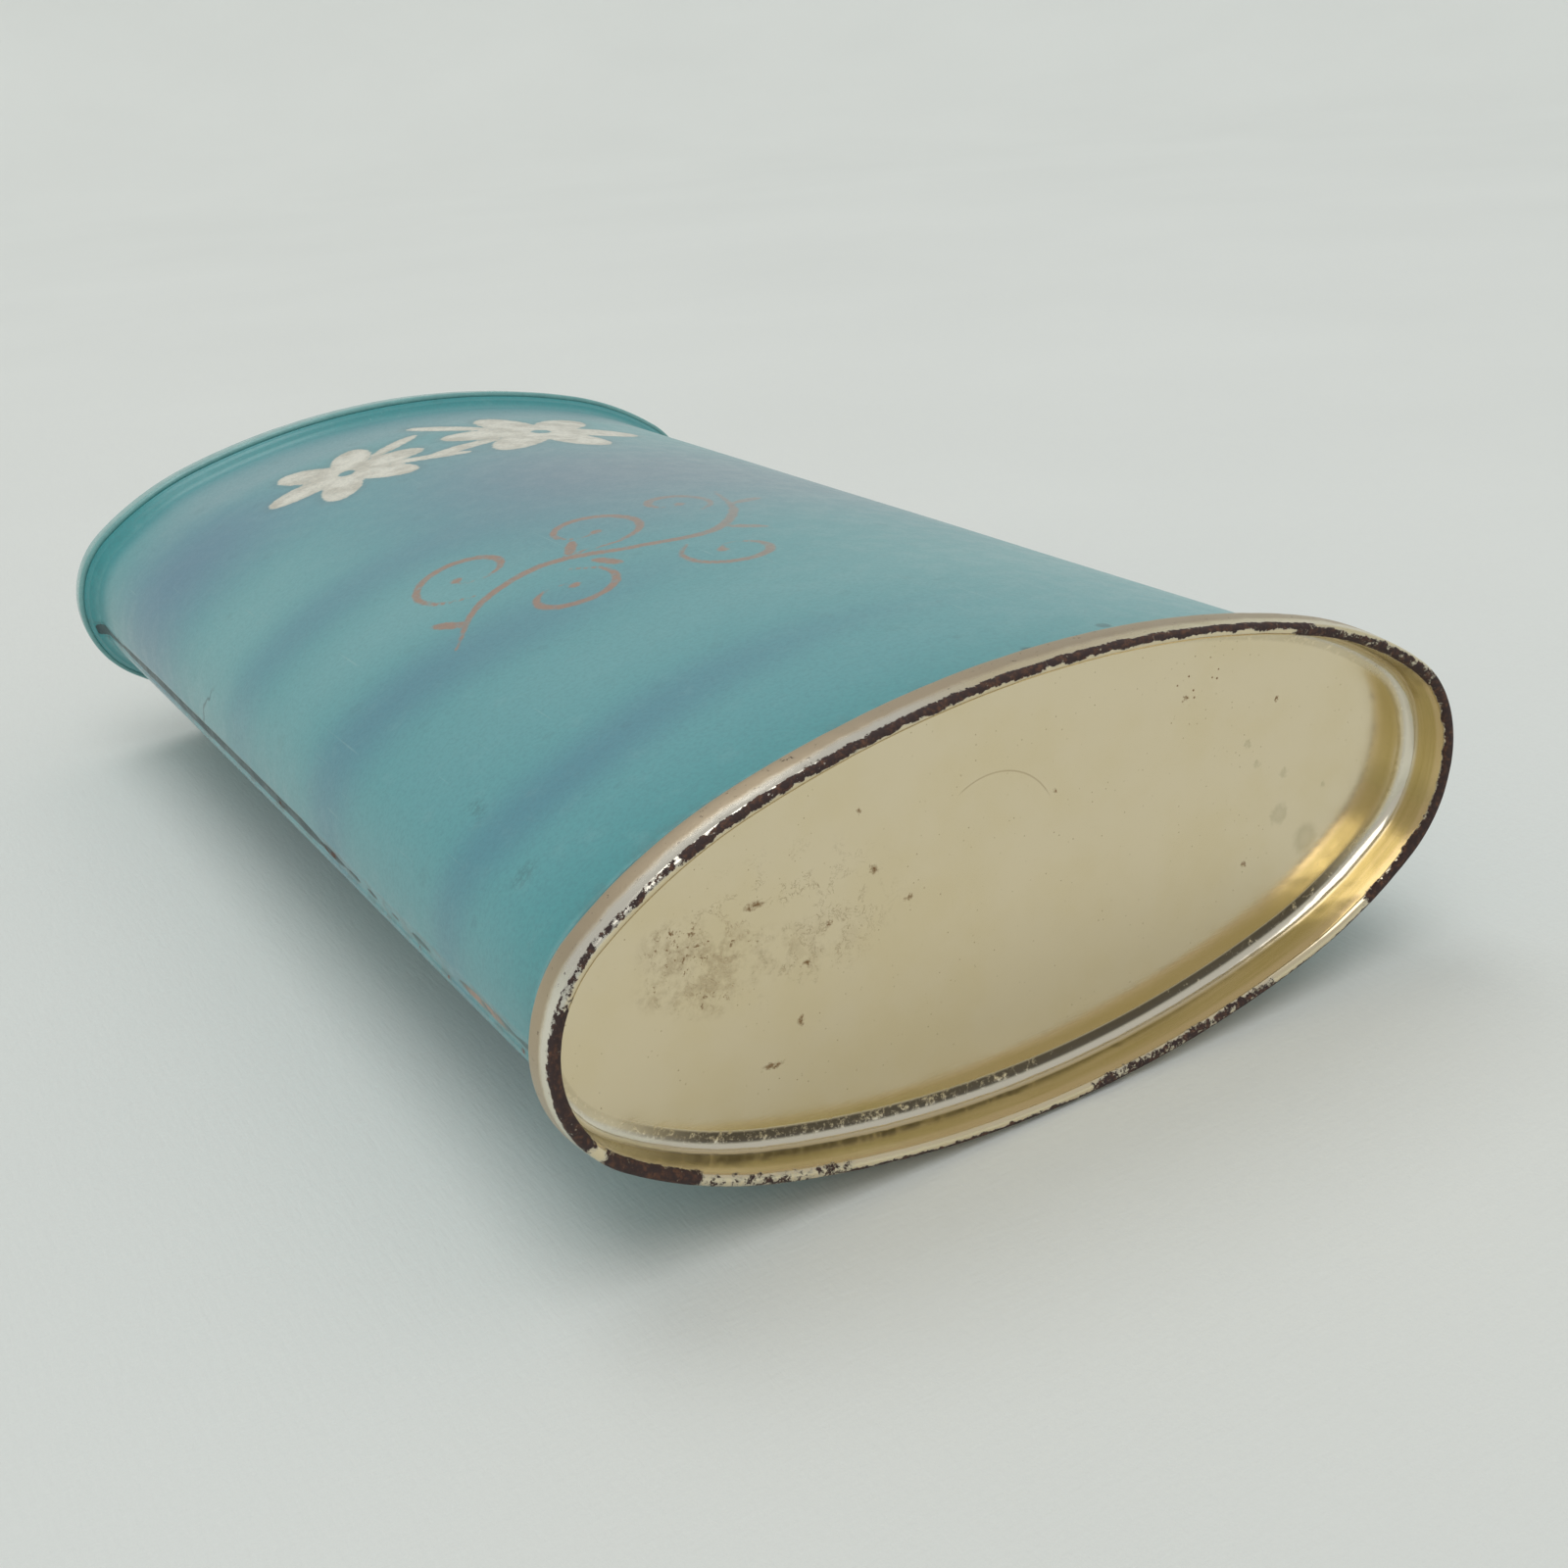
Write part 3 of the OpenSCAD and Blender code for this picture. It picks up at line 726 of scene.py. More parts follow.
class Shader:
    """A material's node tree. Wherever an input is asked for, a number, a colour or an output will do."""

    def __init__(self, name):
        self.material = bpy.data.materials.new(name)
        self.material.use_nodes = True
        self.tree = self.material.node_tree
        self.surface = self.tree.nodes["Principled BSDF"]
        position = self.node("ShaderNodeTexCoord").outputs["Object"]
        self.position = self.vector("SCALE", position, scale=1 / MM)

    def node(self, kind, inputs=(), **settings):
        """A new node. inputs is a list of its first inputs, or a dictionary by their names or numbers."""
        made = self.tree.nodes.new(kind)
        for name, value in settings.items():
            setattr(made, name, value)
        self.feed(made, inputs if isinstance(inputs, dict) else dict(enumerate(inputs)))
        return made

    def feed(self, node, inputs):
        for key, value in inputs.items():
            if isinstance(value, Value):
                value = value.socket
            if isinstance(value, bpy.types.NodeSocket):
                self.tree.links.new(value, node.inputs[key])
            else:
                node.inputs[key].default_value = value

    def math(self, operation, first, second=0.0, clamp=False):
        made = self.node("ShaderNodeMath", (first, second), operation=operation, use_clamp=clamp)
        return Value(self, made.outputs[0])

    def limited(self, value):
        return self.math("ADD", value, 0.0, clamp=True)

    def most(self, *values):
        total = values[0]
        for value in values[1:]:
            total = self.math("MAXIMUM", total, value)
        return total

    def vector(self, operation, first, second=(0.0, 0.0, 0.0), scale=1.0):
        inputs = {0: first, 1: second, 3: scale}
        return self.node("ShaderNodeVectorMath", inputs, operation=operation).outputs["Vector"]

    def reach(self, x, y):
        """The distance of (x, y) from (0, 0)."""
        inputs = [self.joined(x, y)]
        return Value(self, self.node("ShaderNodeVectorMath", inputs, operation="LENGTH").outputs["Value"])

    def ramp(self, value, start, end, low=0.0, high=1.0):
        """Smoothly from low to high as value goes from start to end; start may be the larger."""
        inputs = (value, start, end, low, high)
        made = self.node("ShaderNodeMapRange", inputs, interpolation_type="SMOOTHSTEP")
        return Value(self, made.outputs[0])

    def noise(self, scale, detail=3.0, roughness=0.55, vector=None, distortion=0.0):
        """Noise from 0 to 1; scale is in waves per millimetre."""
        inputs = {"Vector": self.position if vector is None else vector, "Scale": scale,
                  "Detail": detail, "Roughness": roughness, "Distortion": distortion}
        return Value(self, self.node("ShaderNodeTexNoise", inputs).outputs["Fac"])

    def stretched(self, stretch, *settings):
        """Noise on positions that are scaled along each axis."""
        return self.noise(*settings, self.vector("MULTIPLY", self.position, stretch))

    def swing(self, size, *settings):
        """Noise from -size / 2 to size / 2."""
        return self.noise(*settings) * size - size / 2

    def patches(self, start, end, *settings):
        """Patches, from 0 to 1, where noise goes from start to end."""
        return self.ramp(self.noise(*settings), start, end)

    def specks(self, scale, size, share):
        """Small round specks in a share of the cells of a random grid."""
        inputs = {"Vector": self.position, "Scale": scale}
        cells = self.node("ShaderNodeTexVoronoi", inputs, feature="F1").outputs
        picked = self.node("ShaderNodeSeparateColor", [cells["Color"]]).outputs
        chosen = self.math("LESS_THAN", picked[0], share)
        width = (Value(self, picked[1]) + 0.4) * size
        return self.ramp(self.math("DIVIDE", cells["Distance"], width), 1.0, 0.6) * chosen

    def layout(self):
        """The distances around and along the piece, in millimetres, from its UV map."""
        place = self.node("ShaderNodeUVMap", uv_map="layout").outputs[0]
        return self.split(self.vector("SCALE", place, scale=LAYOUT_UNIT))[:2]

    def split(self, vector):
        return [Value(self, part) for part in self.node("ShaderNodeSeparateXYZ", [vector]).outputs]

    def joined(self, x, y, z=0.0):
        return self.node("ShaderNodeCombineXYZ", (x, y, z)).outputs[0]

    def attribute(self, name):
        return Value(self, self.node("ShaderNodeAttribute", attribute_name=name).outputs["Fac"])

    def spot(self, x, y, centre, radii, soft=1.0):
        """A round or oval spot, 1 in its middle and 0 outside; soft is the share of it that fades."""
        across = (x - centre[0]) * (1 / radii[0])
        up = (y - centre[1]) * (1 / radii[1])
        return self.ramp(self.reach(across, up), 1.0, 1.0 - soft)

    def spots(self, x, y, spots):
        """Soft oval spots added up, from 0 to 1; each has a centre, radii and a weight."""
        return self.limited(sum(self.spot(x, y, *place) * weight for *place, weight in spots))

    def blend(self, share, first, second):
        inputs = {0: share, 6: first, 7: second}
        return self.node("ShaderNodeMix", inputs, data_type="RGBA").outputs[2]

    def paint(self, share, colour):
        """Lays a colour over what has been painted so far."""
        self.colour = self.blend(share, self.colour, colour)

    def finish(self, rough, relief, depth, strength, metallic=0.0, **plain):
        """Links the surface's inputs, with a bump of a depth in millimetres, and sets its plain values."""
        inputs = {"Strength": strength, "Distance": depth * MM, "Height": relief}
        bump = self.node("ShaderNodeBump", inputs).outputs[0]
        self.feed(self.surface, {"Base Color": self.colour, "Roughness": rough, "Normal": bump,
                                 "Metallic": metallic})
        self.feed(self.surface, {name.replace("_", " "): value for name, value in plain.items()})
        return self.material


TEAL = srgb(86, 158, 164)
DEEP_TEAL = srgb(56, 146, 150)
LIGHT_TEAL = srgb(106, 168, 172)
PALE_TEAL = srgb(128, 164, 172)
SLATE_BLUE = srgb(78, 128, 152)
DEEP_BLUE = srgb(70, 130, 150)
# grey-blue of the painted sheen on the body's right side
SHEEN_GREY_BLUE = srgb(112, 138, 154)
CREAM = srgb(232, 228, 214)
CREAM_SHADE = srgb(196, 190, 174)
COPPER = srgb(158, 118, 94)
RUST_DARK = srgb(58, 42, 40)
RUST_BROWN = srgb(104, 70, 52)
GOLD = srgb(229, 214, 182)
GOLD_DEEP = srgb(206, 192, 142)
STAIN = srgb(122, 84, 38)
TAN = srgb(182, 164, 140)
BARE_TIN = srgb(190, 186, 176)
# near-white of the painted highlights on the bottom end's fillet and crest
HIGHLIGHT_PAINT = srgb(232, 228, 218)
DIRT = srgb(44, 33, 18)
SOLDER_GREY = srgb(66, 92, 94)


def paint_washes(g, around, height):
    """Teal washed with soft slate-blue bands, as if laid on with a wide wet brush, with a painted
    grey-blue sheen towards the right and painted shade in the cove under the top seam.
    """
    drift = g.vector("SCALE", g.joined(around, height), scale=0.035)
    level = height + g.swing(8, 1, 1.5, 0.5, drift)
    slates = [
        ((-30, 91), (24, 17), 0.95), ((2, 70), (27, 34), 0.95), ((-26, 62), (24, 7), 0.5),
        ((-28, 39), (34, 7), 0.75), ((-24, 18), (36, 5), 0.7), ((24, 62), (22, 40), 0.6),
        ((44, 40), (20, 14), 0.7), ((-60, 74), (18, 16), 0.6), ((-58, 30), (16, 10), 0.7),
        ((70, 66), (20, 18), 0.7),
    ]
    lights = [((-31, 72), (17, 10), 0.9), ((-24, 51), (24, 9), 0.8), ((-14, 28), (30, 8), 0.45),
              ((10, 28), (22, 10), 0.35)]
    slate = g.spots(around, level, slates)
    light = g.spots(around, level, lights)
    # Deeper teal by both rims. By the top rim this is painted shade in the cove under the seam; by the
    # bottom rim the teal only gets darker towards the rim.
    rim_shade_and_tone = g.most(g.ramp(height, 13, 3, 0, 0.7), g.ramp(height, 106, 111))
    pale = g.ramp(height, 97, 103) * g.ramp(height, 111, 107) * g.ramp(around, -34, -20)
    g.colour = g.blend(rim_shade_and_tone, TEAL, DEEP_TEAL)
    g.paint(light, LIGHT_TEAL)
    tone = g.blend(g.ramp(height, 44, 80), DEEP_BLUE, SLATE_BLUE)
    # painted sheen: towards the right the slate turns grey-blue, as where the gloss catches the bright
    # surroundings
    tone = g.blend(g.ramp(around, -20, 8) * g.ramp(height, 34, 56), tone, SHEEN_GREY_BLUE)
    g.paint(slate * (1 - rim_shade_and_tone), tone)
    g.paint(pale * 0.75, PALE_TEAL)


def printed_tinplate():
    """The body's lithographed print: washes of colour with painted shade and sheen, cream and copper inks,
    grain, scuffs and grime.
    """
    g = Shader("printed_tinplate")
    around, height = g.layout()
    paint_washes(g, around, height)

    edge = g.swing(0.5, 1.4, 3, 0.6)
    petal = g.ramp(g.attribute("motif") + edge, 0.16, -0.16)
    shade = g.noise(0.35, 4, 0.65)
    cream = g.blend(g.ramp(shade, 0.38, 0.7), CREAM, CREAM_SHADE)
    fold = g.ramp(g.attribute("motif"), -0.9, -0.1)
    cream = g.blend(fold * 0.4, cream, CREAM_SHADE)
    halo = g.ramp(g.attribute("motif"), 1.3, 0)
    g.paint(halo * 0.22, srgb(70, 92, 96))
    g.paint(petal, cream)
    ink = g.ramp(g.attribute("flourish") + edge * 0.7, 0.14, -0.14)
    thin = g.ramp(around, -8, 18, 0.9, 0.4)
    worn = g.ramp(g.noise(1.1, 4, 0.7), 0.3, 0.5, 0.55, 1)
    g.paint(ink * thin * worn, COPPER)

    grain = g.noise(3.4, 2, 0.7)
    g.paint(g.ramp(grain, 0.35, 0.75, 0, 0.2), srgb(60, 100, 108))
    mottle = g.noise(0.5, 5, 0.62)
    g.paint(g.ramp(mottle, 0.5, 0.8, 0, 0.12), srgb(156, 190, 194))

    scratch = g.ramp(g.stretched((6, 0.12, 6), 0.7, 2, 0.4), 0.71, 0.76) * g.patches(0.5, 0.62, 0.06, 2)
    g.paint(scratch * 0.35, srgb(150, 186, 186))
    line = abs(height + around * 0.85 + mottle * 2.2 - 39.6)
    graze = g.ramp(line, 0.32, 0.1) * g.spot(around, height, (-38.5, 70), (3.5, 4.5), 0.6)
    spot = g.spot(around + mottle * 3, height, (-28.6, 21), (0.9, 1.8), 0.7)
    spot = g.most(spot, g.spot(around, height + mottle, (-31.5, 12.5), (1.6, 1), 0.8))
    grime = g.most(graze * 0.5, spot * g.ramp(grain, 0.3, 0.6) * 0.22)
    foot = g.ramp(height, 6.5, 3.4) * g.ramp(mottle, 0.42, 0.62)
    nicks = g.specks(0.55, 0.34, 0.1) * g.ramp(height, 12, 4, 0.1, 0.9)
    grime = g.limited(grime + foot * 0.4 + nicks * 0.7)
    g.paint(grime, srgb(48, 62, 58))

    seam = abs(around - seam_around())
    stained = g.ramp(seam, 1.25, 0.8) * g.patches(0.45, 0.6, 0.3, 4, 0.7)
    rusty = g.ramp(seam, 1.2, 0.8) * g.patches(0.62, 0.68, 0.6, 5, 0.75) * g.ramp(height, 104, 98)
    g.paint(stained * 0.45, srgb(84, 96, 88))
    g.paint(rusty, RUST_BROWN)

    rough = g.ramp(mottle, 0.3, 0.8, 0.3, 0.42) + grain * 0.08 + grime * 0.2 + petal * 0.06
    relief = grain * 0.35 + g.noise(8, 2, 0.6) * 0.25 + mottle * 0.5 + petal * 0.35 + ink * 0.25
    relief = relief - scratch * 0.3
    return g.finish(rough, relief, 0.028, 0.7,
                    Specular_IOR_Level=0.45, Coat_Weight=0.45, Coat_Roughness=0.22)


def rust_level(g, around, along):
    """How far rust has got around the bottom rim; along is measured from the crest's top, inward."""
    runs = [
        (-26, 20.5, -0.24, 0.26, 1), (-37, -26, -0.3, 0.2, 0.55), (19, 34, 0.28, 0.4, 0.8),
        (33, 51, 0, 0.45, 1), (50, 79, -0.26, 0.2, 0.9), (60, 76, 0, 0.4, 0.62),
        (-79, -61, -0.22, 0.22, 0.9), (-62, -50, 0, 0.4, 0.36), (-51, -44.5, 0, 0.6, 0.95),
        (-43.5, -35, 0.05, 0.5, 1),
    ]
    along = along + g.swing(0.7, 0.6, 4, 0.7)
    level = 0
    for start, end, centre, half, weight in runs:
        here = g.ramp(around, start - 0.8, start + 0.8) * g.ramp(around, end + 0.8, end - 0.8)
        across = g.ramp(abs(along - centre), 1.6 * half, 0.6 * half)
        level = g.most(level, here * across * weight)
    return level


def panel_marks(g):
    """Stains and small marks on the bottom panel: how dark, and how green-grey."""
    x, _, z = g.split(g.position)
    z = z - half_depth
    crooked = g.noise(1.1, 5, 0.7, distortion=0.8)
    zone = g.spots(x, z, [
        ((-25, 3.6), (3.2, 2.6), 0.9), ((-22.4, 2), (3.4, 2.2), 0.9), ((-26, 1.2), (2.6, 2), 0.8),
        ((-23.2, -0.4), (3.4, 1.8), 0.8), ((-19, 1), (4, 3), 0.5), ((-15, 0.5), (4, 3), 0.3),
    ])
    thread = g.ramp(abs(crooked - 0.5), 0.016, 0.006)
    clots = g.noise(2.2, 5, 0.8) + g.ramp(g.noise(0.5, 2), 0.4, 0.6, -0.08, 0.06)
    clots = g.ramp(clots, 0.61, 0.68) * g.ramp(zone, 0.2, 0.7)
    wide = g.limited(zone + g.spot(x, z, (-18, 2.5), (13, 8), 0.9) * 0.6)
    threads = thread * g.ramp(wide, 0.1, 0.6) * g.patches(0.46, 0.56, 0.7, 2)
    haze = zone * g.patches(0.4, 0.68, 0.7, 4, 0.7) * 0.5
    marks = [
        ((-11.6, 4), (0.3, 0.3)), ((-19.9, 4.3), (0.75, 0.26)), ((-16.7, -0.5), (0.34, 0.26)),
        ((-17.3, -4.1), (0.24, 0.42)), ((-19.5, -6.4), (0.85, 0.2)), ((-9.2, 1.4), (0.2, 0.2)),
        ((-14.9, 1.5), (0.22, 0.18)), ((-12.3, 8), (0.2, 0.18)), ((2.1, 5.1), (0.2, 0.16)),
        ((18.3, -5.1), (0.2, 0.2)), ((20.9, 6.3), (0.16, 0.2)), ((12.9, 8.4), (0.2, 0.2)),
    ]
    bent = x + crooked * 1.4 - 0.7
    bowed = z + g.swing(0.9, 2.4, 4, 0.8)
    dots = 0
    for centre, radii in marks:
        dots = g.most(dots, g.spot(bent, bowed, centre, (1.25 * radii[0], 1.25 * radii[1]), 0.8))
    dots = dots * g.ramp(g.noise(3.4, 3, 0.7), 0.36, 0.5, 0.25, 1)
    cluster = g.specks(2, 0.16, 0.5) * g.spot(x, z, (14, 9.5), (3.4, 2.2), 0.6)
    dusty = g.specks(1.3, 0.1, 0.3) * g.ramp(g.noise(0.12, 3), 0.4, 0.62, 0.25, 1)
    fine = g.specks(2.6, 0.14, 0.25) * g.patches(0.42, 0.6, 0.2, 3)
    sweep = g.reach(x + 2.7, z - 2.7)
    arc_mark = g.ramp(abs(sweep - 4.9), 0.08, 0.02) * g.ramp(z, 4.6, 5.6) * g.ramp(x, -5.4, -4.6) * 0.3
    dark = g.limited(g.most(clots, threads * 0.5, dots, cluster, dusty * 0.6, fine * 0.4, arc_mark, haze))
    rings = 0
    for centre, radius in (((21.5, -2.3), 0.9), ((18.5, 3.7), 0.35), ((19.4, 2), 0.35),
                           ((21.9, 0.7), 0.4), ((25.7, -1.3), 0.3), ((24.1, -4.9), 1.3)):
        hollow = g.spot(bent, z, centre, (0.7 * radius, 0.7 * radius), 0.9) * 0.35
        rings = g.most(rings, g.spot(bent, bowed, centre, (1.1 * radius, 1.1 * radius), 0.6) - hollow)
    return dark, rings * 0.8


def gold_lacquer():
    """The bottom end: glossy gold lacquer on tin, rusted along the crest, dirty in the groove, stained,
    with painted highlights on the fillet and on the crest's outer curve.
    """
    g = Shader("gold_lacquer")
    around, along = g.layout()
    chuck_foot = 3.1
    on_panel = g.ramp(along, chuck_foot + 1, chuck_foot + 1.4)
    on_chuck = g.ramp(along, 0.9, 1.3) * g.ramp(along, chuck_foot - 0.2, chuck_foot - 0.5)
    # painted highlight: a pale band all round the fillet between the panel and the chuck wall
    painted_fillet_highlight = g.ramp(abs(along - (chuck_foot + 0.15)), 0.7, 0.4)
    outside = g.ramp(along + g.swing(0.6, 0.5, 4, 0.7), -0.9, -1.5)
    # painted highlight: a bright streak down the crest's outer curve at the front left
    painted_crest_highlight = g.ramp(along, 0, -0.2) * (1 - outside) * g.ramp(abs(around + 24), 20, 12)

    wobble = g.noise(0.16, 4, 0.6)
    brushed = g.stretched((0.5, 1, 5), 1, 3, 0.6)
    streaks = g.noise(1, 3, 0.6, g.joined(around * 0.1, along * 2.6))
    g.colour = g.blend(g.ramp(wobble, 0.35, 0.7, 0, 0.35), GOLD, srgb(222, 204, 160))
    g.paint(on_chuck * g.ramp(streaks, 0.3, 0.65, 0.55, 1), GOLD_DEEP)
    # lays on the fillet's painted highlight
    g.paint(painted_fillet_highlight * 0.6, HIGHLIGHT_PAINT)
    g.paint(outside * 0.85, TAN)
    # lays on the crest's painted highlight
    g.paint(painted_crest_highlight * 0.8, HIGHLIGHT_PAINT)

    dark, green = panel_marks(g)
    dark, green = dark * on_panel, green * on_panel
    groove = g.ramp(abs(along - (chuck_foot + 0.9)), 0.5, 0.25)
    at_back = g.most(g.ramp(abs(around), 44, 54), 0.12)
    thinning = g.ramp(around, 80, 40, 0, 0.12)
    dirt = groove * at_back * g.ramp(g.noise(2.4, 5, 0.8) - thinning, 0.24, 0.38)
    g.paint(green * 0.35, srgb(140, 134, 102))
    g.paint(dark * 0.9, STAIN)
    g.paint(dirt * 0.9, DIRT)

    level = rust_level(g, around, along)
    ragged = g.swing(3.6, 1.7, 6, 0.8)
    near = g.ramp(level, 0, 0.2)
    rust = g.ramp(level + ragged, 0.44, 0.54) * near
    bared = g.ramp(level + ragged * 0.6, 0.15, 0.4) * near
    nicks = g.patches(0.63, 0.67, 1.9, 5, 0.8) * g.ramp(along, -0.3, -0.8)
    cuts = g.noise(1, 3, 0.7, g.joined(around * 2.2, along * 0.5, 3))
    cuts = g.ramp(cuts, 0.64, 0.68) * g.ramp(abs(around + 26), 12, 8) * g.ramp(abs(along + 0.7), 0.7, 0.3)
    rust = g.limited(g.most(rust, nicks * 0.8, cuts * 0.85))
    rust_tone = g.blend(g.patches(0.46, 0.7, 2.2, 5, 0.75), RUST_DARK, RUST_BROWN)
    g.paint(bared * 0.5, BARE_TIN)
    g.paint(rust, rust_tone)

    spoiled = g.limited(g.most(rust, dark * 0.35, dirt))
    rough = g.ramp(wobble, 0.3, 0.8, 0.1, 0.2) + brushed * 0.06 + outside * 0.22 + spoiled * 0.55
    rough = rough + green * 0.1 + bared * 0.1 + on_chuck * 0.04
    metallic = g.limited(1 - spoiled * 0.95)
    relief = brushed * 0.12 + wobble * 0.3 + dark * 0.12 + dirt * 0.9
    relief = relief + rust * g.noise(3, 5, 0.8) * -2.2 + outside * g.noise(5, 3, 0.7) * 0.5
    return g.finish(rough, relief, 0.035, 0.8, metallic, Specular_IOR_Level=0.5)


def dial_lacquer():
    """The dial's gold lacquer: brushed by handling, rubbed to bare tin on the ribs and ridge."""
    g = Shader("dial_lacquer")
    around, along = g.layout()
    wobble = g.noise(0.3, 4, 0.6)
    lathe = g.noise(1, 3, 0.6, g.joined(around * 0.08, along * 4, 1))
    edge = g.node("ShaderNodeNewGeometry").outputs["Pointiness"]
    rubbed = g.ramp(edge, 0.515, 0.56) * g.patches(0.35, 0.6, 1, 5, 0.7)
    g.colour = g.blend(g.ramp(wobble, 0.35, 0.7), GOLD, GOLD_DEEP)
    g.paint(rubbed * 0.8, BARE_TIN)
    spots = g.specks(1, 0.2, 0.25) * g.patches(0.42, 0.6, 0.25, 3)
    powder = g.patches(0.58, 0.7, 0.8, 5, 0.7) * g.ramp(edge, 0.5, 0.47)
    g.paint(spots * 0.85, DIRT)
    g.paint(powder * 0.6, srgb(214, 210, 200))
    rough = g.ramp(wobble, 0.3, 0.8, 0.14, 0.26) + lathe * 0.08 + spots * 0.4 + powder * 0.4
    metallic = g.limited(1 - g.most(spots, powder) * 0.9)
    relief = lathe * 0.3 + wobble * 0.4 + g.noise(4, 3, 0.7) * 0.2
    return g.finish(rough, relief, 0.02, 0.7, metallic, Specular_IOR_Level=0.5)


def teal_tinplate():
    """The top end's teal lacquer, chipped along the crest, with a painted sheen on the seam's outer face.
    """
    g = Shader("teal_tinplate")
    _, along = g.layout()
    mottle = g.noise(0.5, 5, 0.6)
    grain = g.noise(3.4, 2, 0.7)
    g.colour = g.blend(g.ramp(mottle, 0.35, 0.7), srgb(96, 168, 168), srgb(70, 148, 150))
    # painted sheen: the seam's outer face is made a lighter grey-teal, as a face turned up to the bright
    # surroundings looks
    outside = g.ramp(along, -0.5, -1)
    g.paint(outside * 0.4, srgb(150, 186, 182))
    crest = g.ramp(abs(along), 0.8, 0.2)
    ragged = g.swing(1.6, 1.3, 6, 0.78)
    chipped = g.ramp(crest * 0.6 + ragged, 0.5, 0.6)
    rusty = g.ramp(crest * 0.5 + ragged, 0.62, 0.72)
    powder = g.ramp(along, 2.2, 4) * g.patches(0.5, 0.68, 0.35, 6, 0.7)
    g.paint(g.ramp(grain, 0.35, 0.75, 0, 0.14), srgb(56, 104, 108))
    g.paint(powder * 0.55, srgb(216, 216, 208))
    g.paint(chipped, BARE_TIN)
    g.paint(rusty, RUST_DARK)
    rough = g.ramp(mottle, 0.3, 0.8, 0.26, 0.4) + powder * 0.4 + rusty * 0.35
    relief = grain * 0.3 + mottle * 0.5 - chipped + powder * 0.4
    metallic = chipped * (1 - rusty)
    return g.finish(rough, relief, 0.03, 0.8, metallic,
                    Specular_IOR_Level=0.55, Coat_Weight=0.5, Coat_Roughness=0.16)


def solder():
    """The side seam's tinned strip: dull grey-green, with darker edges, rust and a bared patch."""
    g = Shader("solder")
    across, height = g.layout()
    mottle = g.noise(0.6, 5, 0.7)
    edge = g.ramp(abs(across), 0.42, 0.66)
    line = g.ramp(across, 0.4, 0.6)
    g.colour = g.blend(g.ramp(mottle, 0.38, 0.68), SOLDER_GREY, srgb(62, 84, 88))
    g.paint(g.ramp(height, 34, 18, 0, 0.7), srgb(96, 130, 130))
    g.paint(edge * 0.35, srgb(40, 60, 62))
    g.paint(line * 0.6, srgb(34, 50, 50))
    bare = g.spot(across, height, (-0.1, 13), (0.9, 4), 0.6) * g.ramp(mottle, 0.36, 0.5)
    g.paint(bare, srgb(176, 150, 134))
    patches = g.most(g.spot(across, height, (-0.2, 52), (0.8, 2.6), 0.8),
                     g.spot(across, height, (0, 41), (0.8, 3.4), 0.8))
    spread = g.most(g.ramp(height, 84, 108, 0, 0.1), patches * 0.26, g.ramp(height, 26, 8, 0, 0.12))
    rust = g.ramp(g.noise(0.7, 6, 0.78) + spread, 0.72, 0.82)
    nicked = g.ramp(across, -0.3, -0.6) * g.patches(0.58, 0.63, 1.6, 4, 0.8) * g.ramp(height, 48, 54)
    rust = g.limited(g.most(rust, nicked))
    g.paint(rust, g.blend(g.ramp(mottle, 0.4, 0.6), RUST_DARK, RUST_BROWN))
    rough = g.ramp(mottle, 0.3, 0.8, 0.38, 0.6) + rust * 0.3
    metallic = g.limited(0.15 - rust)
    relief = g.noise(1.5, 5, 0.7) - rust * 0.6
    return g.finish(rough, relief, 0.05, 0.9, metallic)


def bright_steel():
    """Tinned steel of the rivet and its washer, with hammer marks and fine scratches."""
    g = Shader("bright_steel")
    fine = g.stretched((8, 8, 1.5), 1, 4, 0.7)
    tarnish = g.patches(0.45, 0.7, 0.8, 5, 0.7)
    g.colour = g.blend(tarnish, srgb(206, 204, 198), srgb(146, 142, 132))
    spots = g.specks(1.8, 0.22, 0.2)
    g.paint(spots * 0.8, RUST_DARK)
    rough = g.ramp(tarnish, 0, 1, 0.2, 0.4) + fine * 0.1 + spots * 0.4
    relief = g.noise(0.9, 2, 0.5) + fine * 0.15 - spots * 0.5
    return g.finish(rough, relief, 0.05, 0.7, 1 - spots * 0.9)


def sealing_compound():
    """The rubbery ring in each seam: matte and slightly lumpy."""
    g = Shader("sealing_compound")
    lumps = g.noise(1.6, 5, 0.7)
    g.colour = g.blend(g.ramp(lumps, 0.35, 0.7), srgb(78, 82, 80), srgb(52, 56, 55))
    rough = g.ramp(lumps, 0.3, 0.8, 0.65, 0.9)
    relief = lumps + g.noise(6, 3, 0.6) * 0.3
    return g.finish(rough, relief, 0.05, 0.8)


def pale_cloth():
    """The stage: a plain pale cloth with a fine weave and a faint cloudy tone."""
    g = Shader("pale_cloth")
    relief = g.stretched((2.6, 0.5, 1), 1, 2, 0.5) + g.stretched((0.5, 2.6, 1), 1, 2, 0.5)
    cloud = g.noise(0.012, 3, 0.5)
    g.colour = g.blend(cloud, srgb(222, 225, 222), srgb(229, 232, 229))
    return g.finish(g.ramp(cloud, 0.2, 0.8, 0.85, 0.95), relief, 0.06, 0.6, Specular_IOR_Level=0.2)


# ---------------------------------------------------------------- stage, light and camera

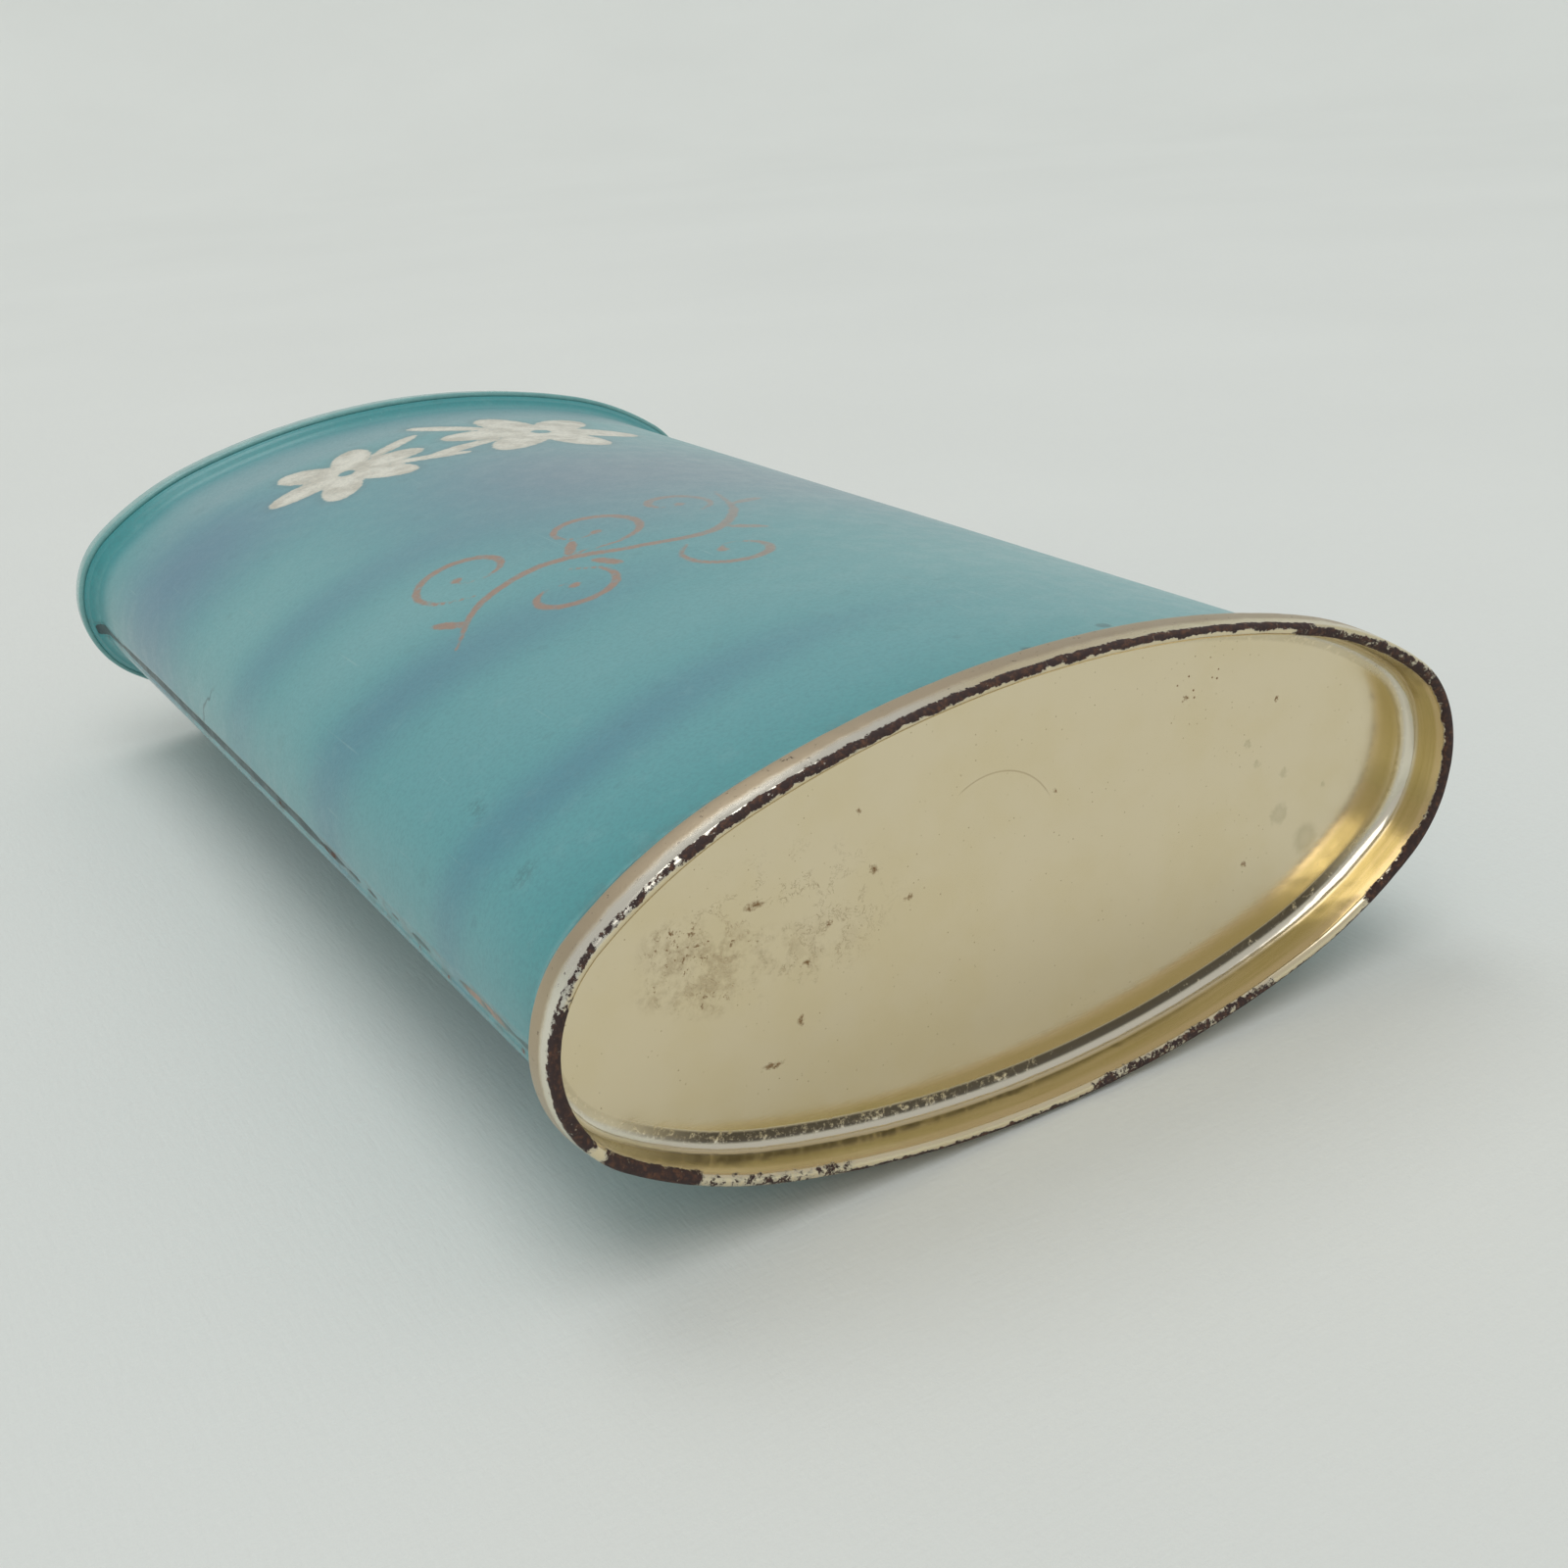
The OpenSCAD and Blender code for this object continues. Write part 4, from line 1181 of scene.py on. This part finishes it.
def make_floor(material):
    """A pale floor that turns up far behind the tin, all round, so that no horizon shows."""
    flat, turn, height, sides = 700, 420, 60, 96
    profile = [(r, 0) for r in np.linspace(0, flat, 12)[1:]]
    curve = np.linspace(0, math.pi / 2, 14)[1:]
    profile += [(flat + turn * math.sin(a), turn * (1 - math.cos(a))) for a in curve]
    profile.append((flat + turn, turn + height))
    angles = np.linspace(0, 2 * math.pi, sides, endpoint=False)
    points = [(0, 0, 0)]
    for r, z in profile:
        points += [(r * math.cos(a), r * math.sin(a), z) for a in angles]
    faces = [(0, 1 + k, 1 + (k + 1) % sides) for k in range(sides)]
    for row in range(len(profile) - 1):
        low, high = 1 + row * sides, 1 + (row + 1) * sides
        for k in range(sides):
            following = (k + 1) % sides
            faces.append((low + k, high + k, high + following, low + following))
    mesh = bpy.data.meshes.new("floor")
    mesh.from_pydata((np.array(points) * MM).tolist(), [], faces)
    mesh.polygons.foreach_set("use_smooth", [True] * len(mesh.polygons))
    mesh.materials.append(material)
    floor = linked("floor", mesh)


def make_light(name, towards, distance, size, power, colour):
    """A soft square lamp that looks at the tin from a direction."""
    data = bpy.data.lights.new(name, "AREA")
    data.size = size * MM
    data.energy = power
    data.color = colour
    lamp = bpy.data.objects.new(name, data)
    away = Vector(towards).normalized()
    lamp.location = away * distance * MM
    lamp.rotation_mode = "QUATERNION"
    lamp.rotation_quaternion = away.to_track_quat("Z", "Y")
    bpy.context.scene.collection.objects.link(lamp)


def make_world(colour, strength):
    world = bpy.data.worlds.new("studio")
    world.use_nodes = True
    background = world.node_tree.nodes["Background"]
    background.inputs["Color"].default_value = (*colour, 1.0)
    background.inputs["Strength"].default_value = strength
    bpy.context.scene.world = world


def make_camera():
    """The camera stands off the bottom end, to the left, looking down the tin."""
    location = Vector((-65.0, -138.8, 67.35))
    aim = Vector((-4.2, -32.3, 15.4))
    roll = math.radians(-4.8)
    forward = (aim - location).normalized()
    level = forward.cross(Vector((0, 0, 1))).normalized()
    upright = level.cross(forward)
    right = level * math.cos(roll) + upright * math.sin(roll)
    up = right.cross(forward)
    data = bpy.data.cameras.new("camera")
    data.lens, data.sensor_width = 42.75, 36.0
    data.clip_start, data.clip_end = 10 * MM, 5000 * MM
    camera = bpy.data.objects.new("camera", data)
    turn = Matrix((right, up, -forward)).transposed()
    camera.matrix_world = Matrix.Translation(location * MM) @ turn.to_4x4()
    bpy.context.scene.collection.objects.link(camera)
    bpy.context.scene.camera = camera


# ---------------------------------------------------------------- putting it together

make_camera()
make_world((0.965, 0.98, 0.97), 0.55)
make_light("softbox", (-0.16, -0.34, 0.93), 3000, 2000, 21.0, (1.0, 0.995, 0.98))
make_light("back_softbox", (-0.07, 0.36, 0.93), 3000, 1400, 13.0, (1.0, 0.995, 0.98))
make_floor(pale_cloth())

scene = bpy.context.scene
scene.view_settings.view_transform = "Standard"
scene.view_settings.look = "None"

steel = bright_steel()
compound = sealing_compound()
made = [
    (make_body_wall(), printed_tinplate(), "printed_tinplate", "body_wall", "tin"),
    (make_solder(), solder(), "solder", "seam_solder", "tin"),
    (make_bottom_end(), gold_lacquer(), "gold_lacquer", "bottom_end", "tin"),
    (make_top_end(), teal_tinplate(), "teal_tinplate", "top_end", "tin"),
    (make_dial(), dial_lacquer(), "dial_lacquer", "sifter_dial", "dial"),
    (make_rivet(), steel, "bright_steel", "dial_rivet", "tin"),
]
for piece, material, slot_name, node_name, body_name in made:
    piece.data.materials.clear()
    piece.data.materials.append(material)
    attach(piece, body_name)
    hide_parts(node_name)

carried = [
    ("bottom_compound", compound, "sealing_compound"),
    ("top_compound", compound, "sealing_compound"),
    ("spring_washer", steel, "bright_steel"),
]
for node_name, material, slot_name in carried:
    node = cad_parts[node_name]
    node.data.materials.clear()
    node.data.materials.append(material)
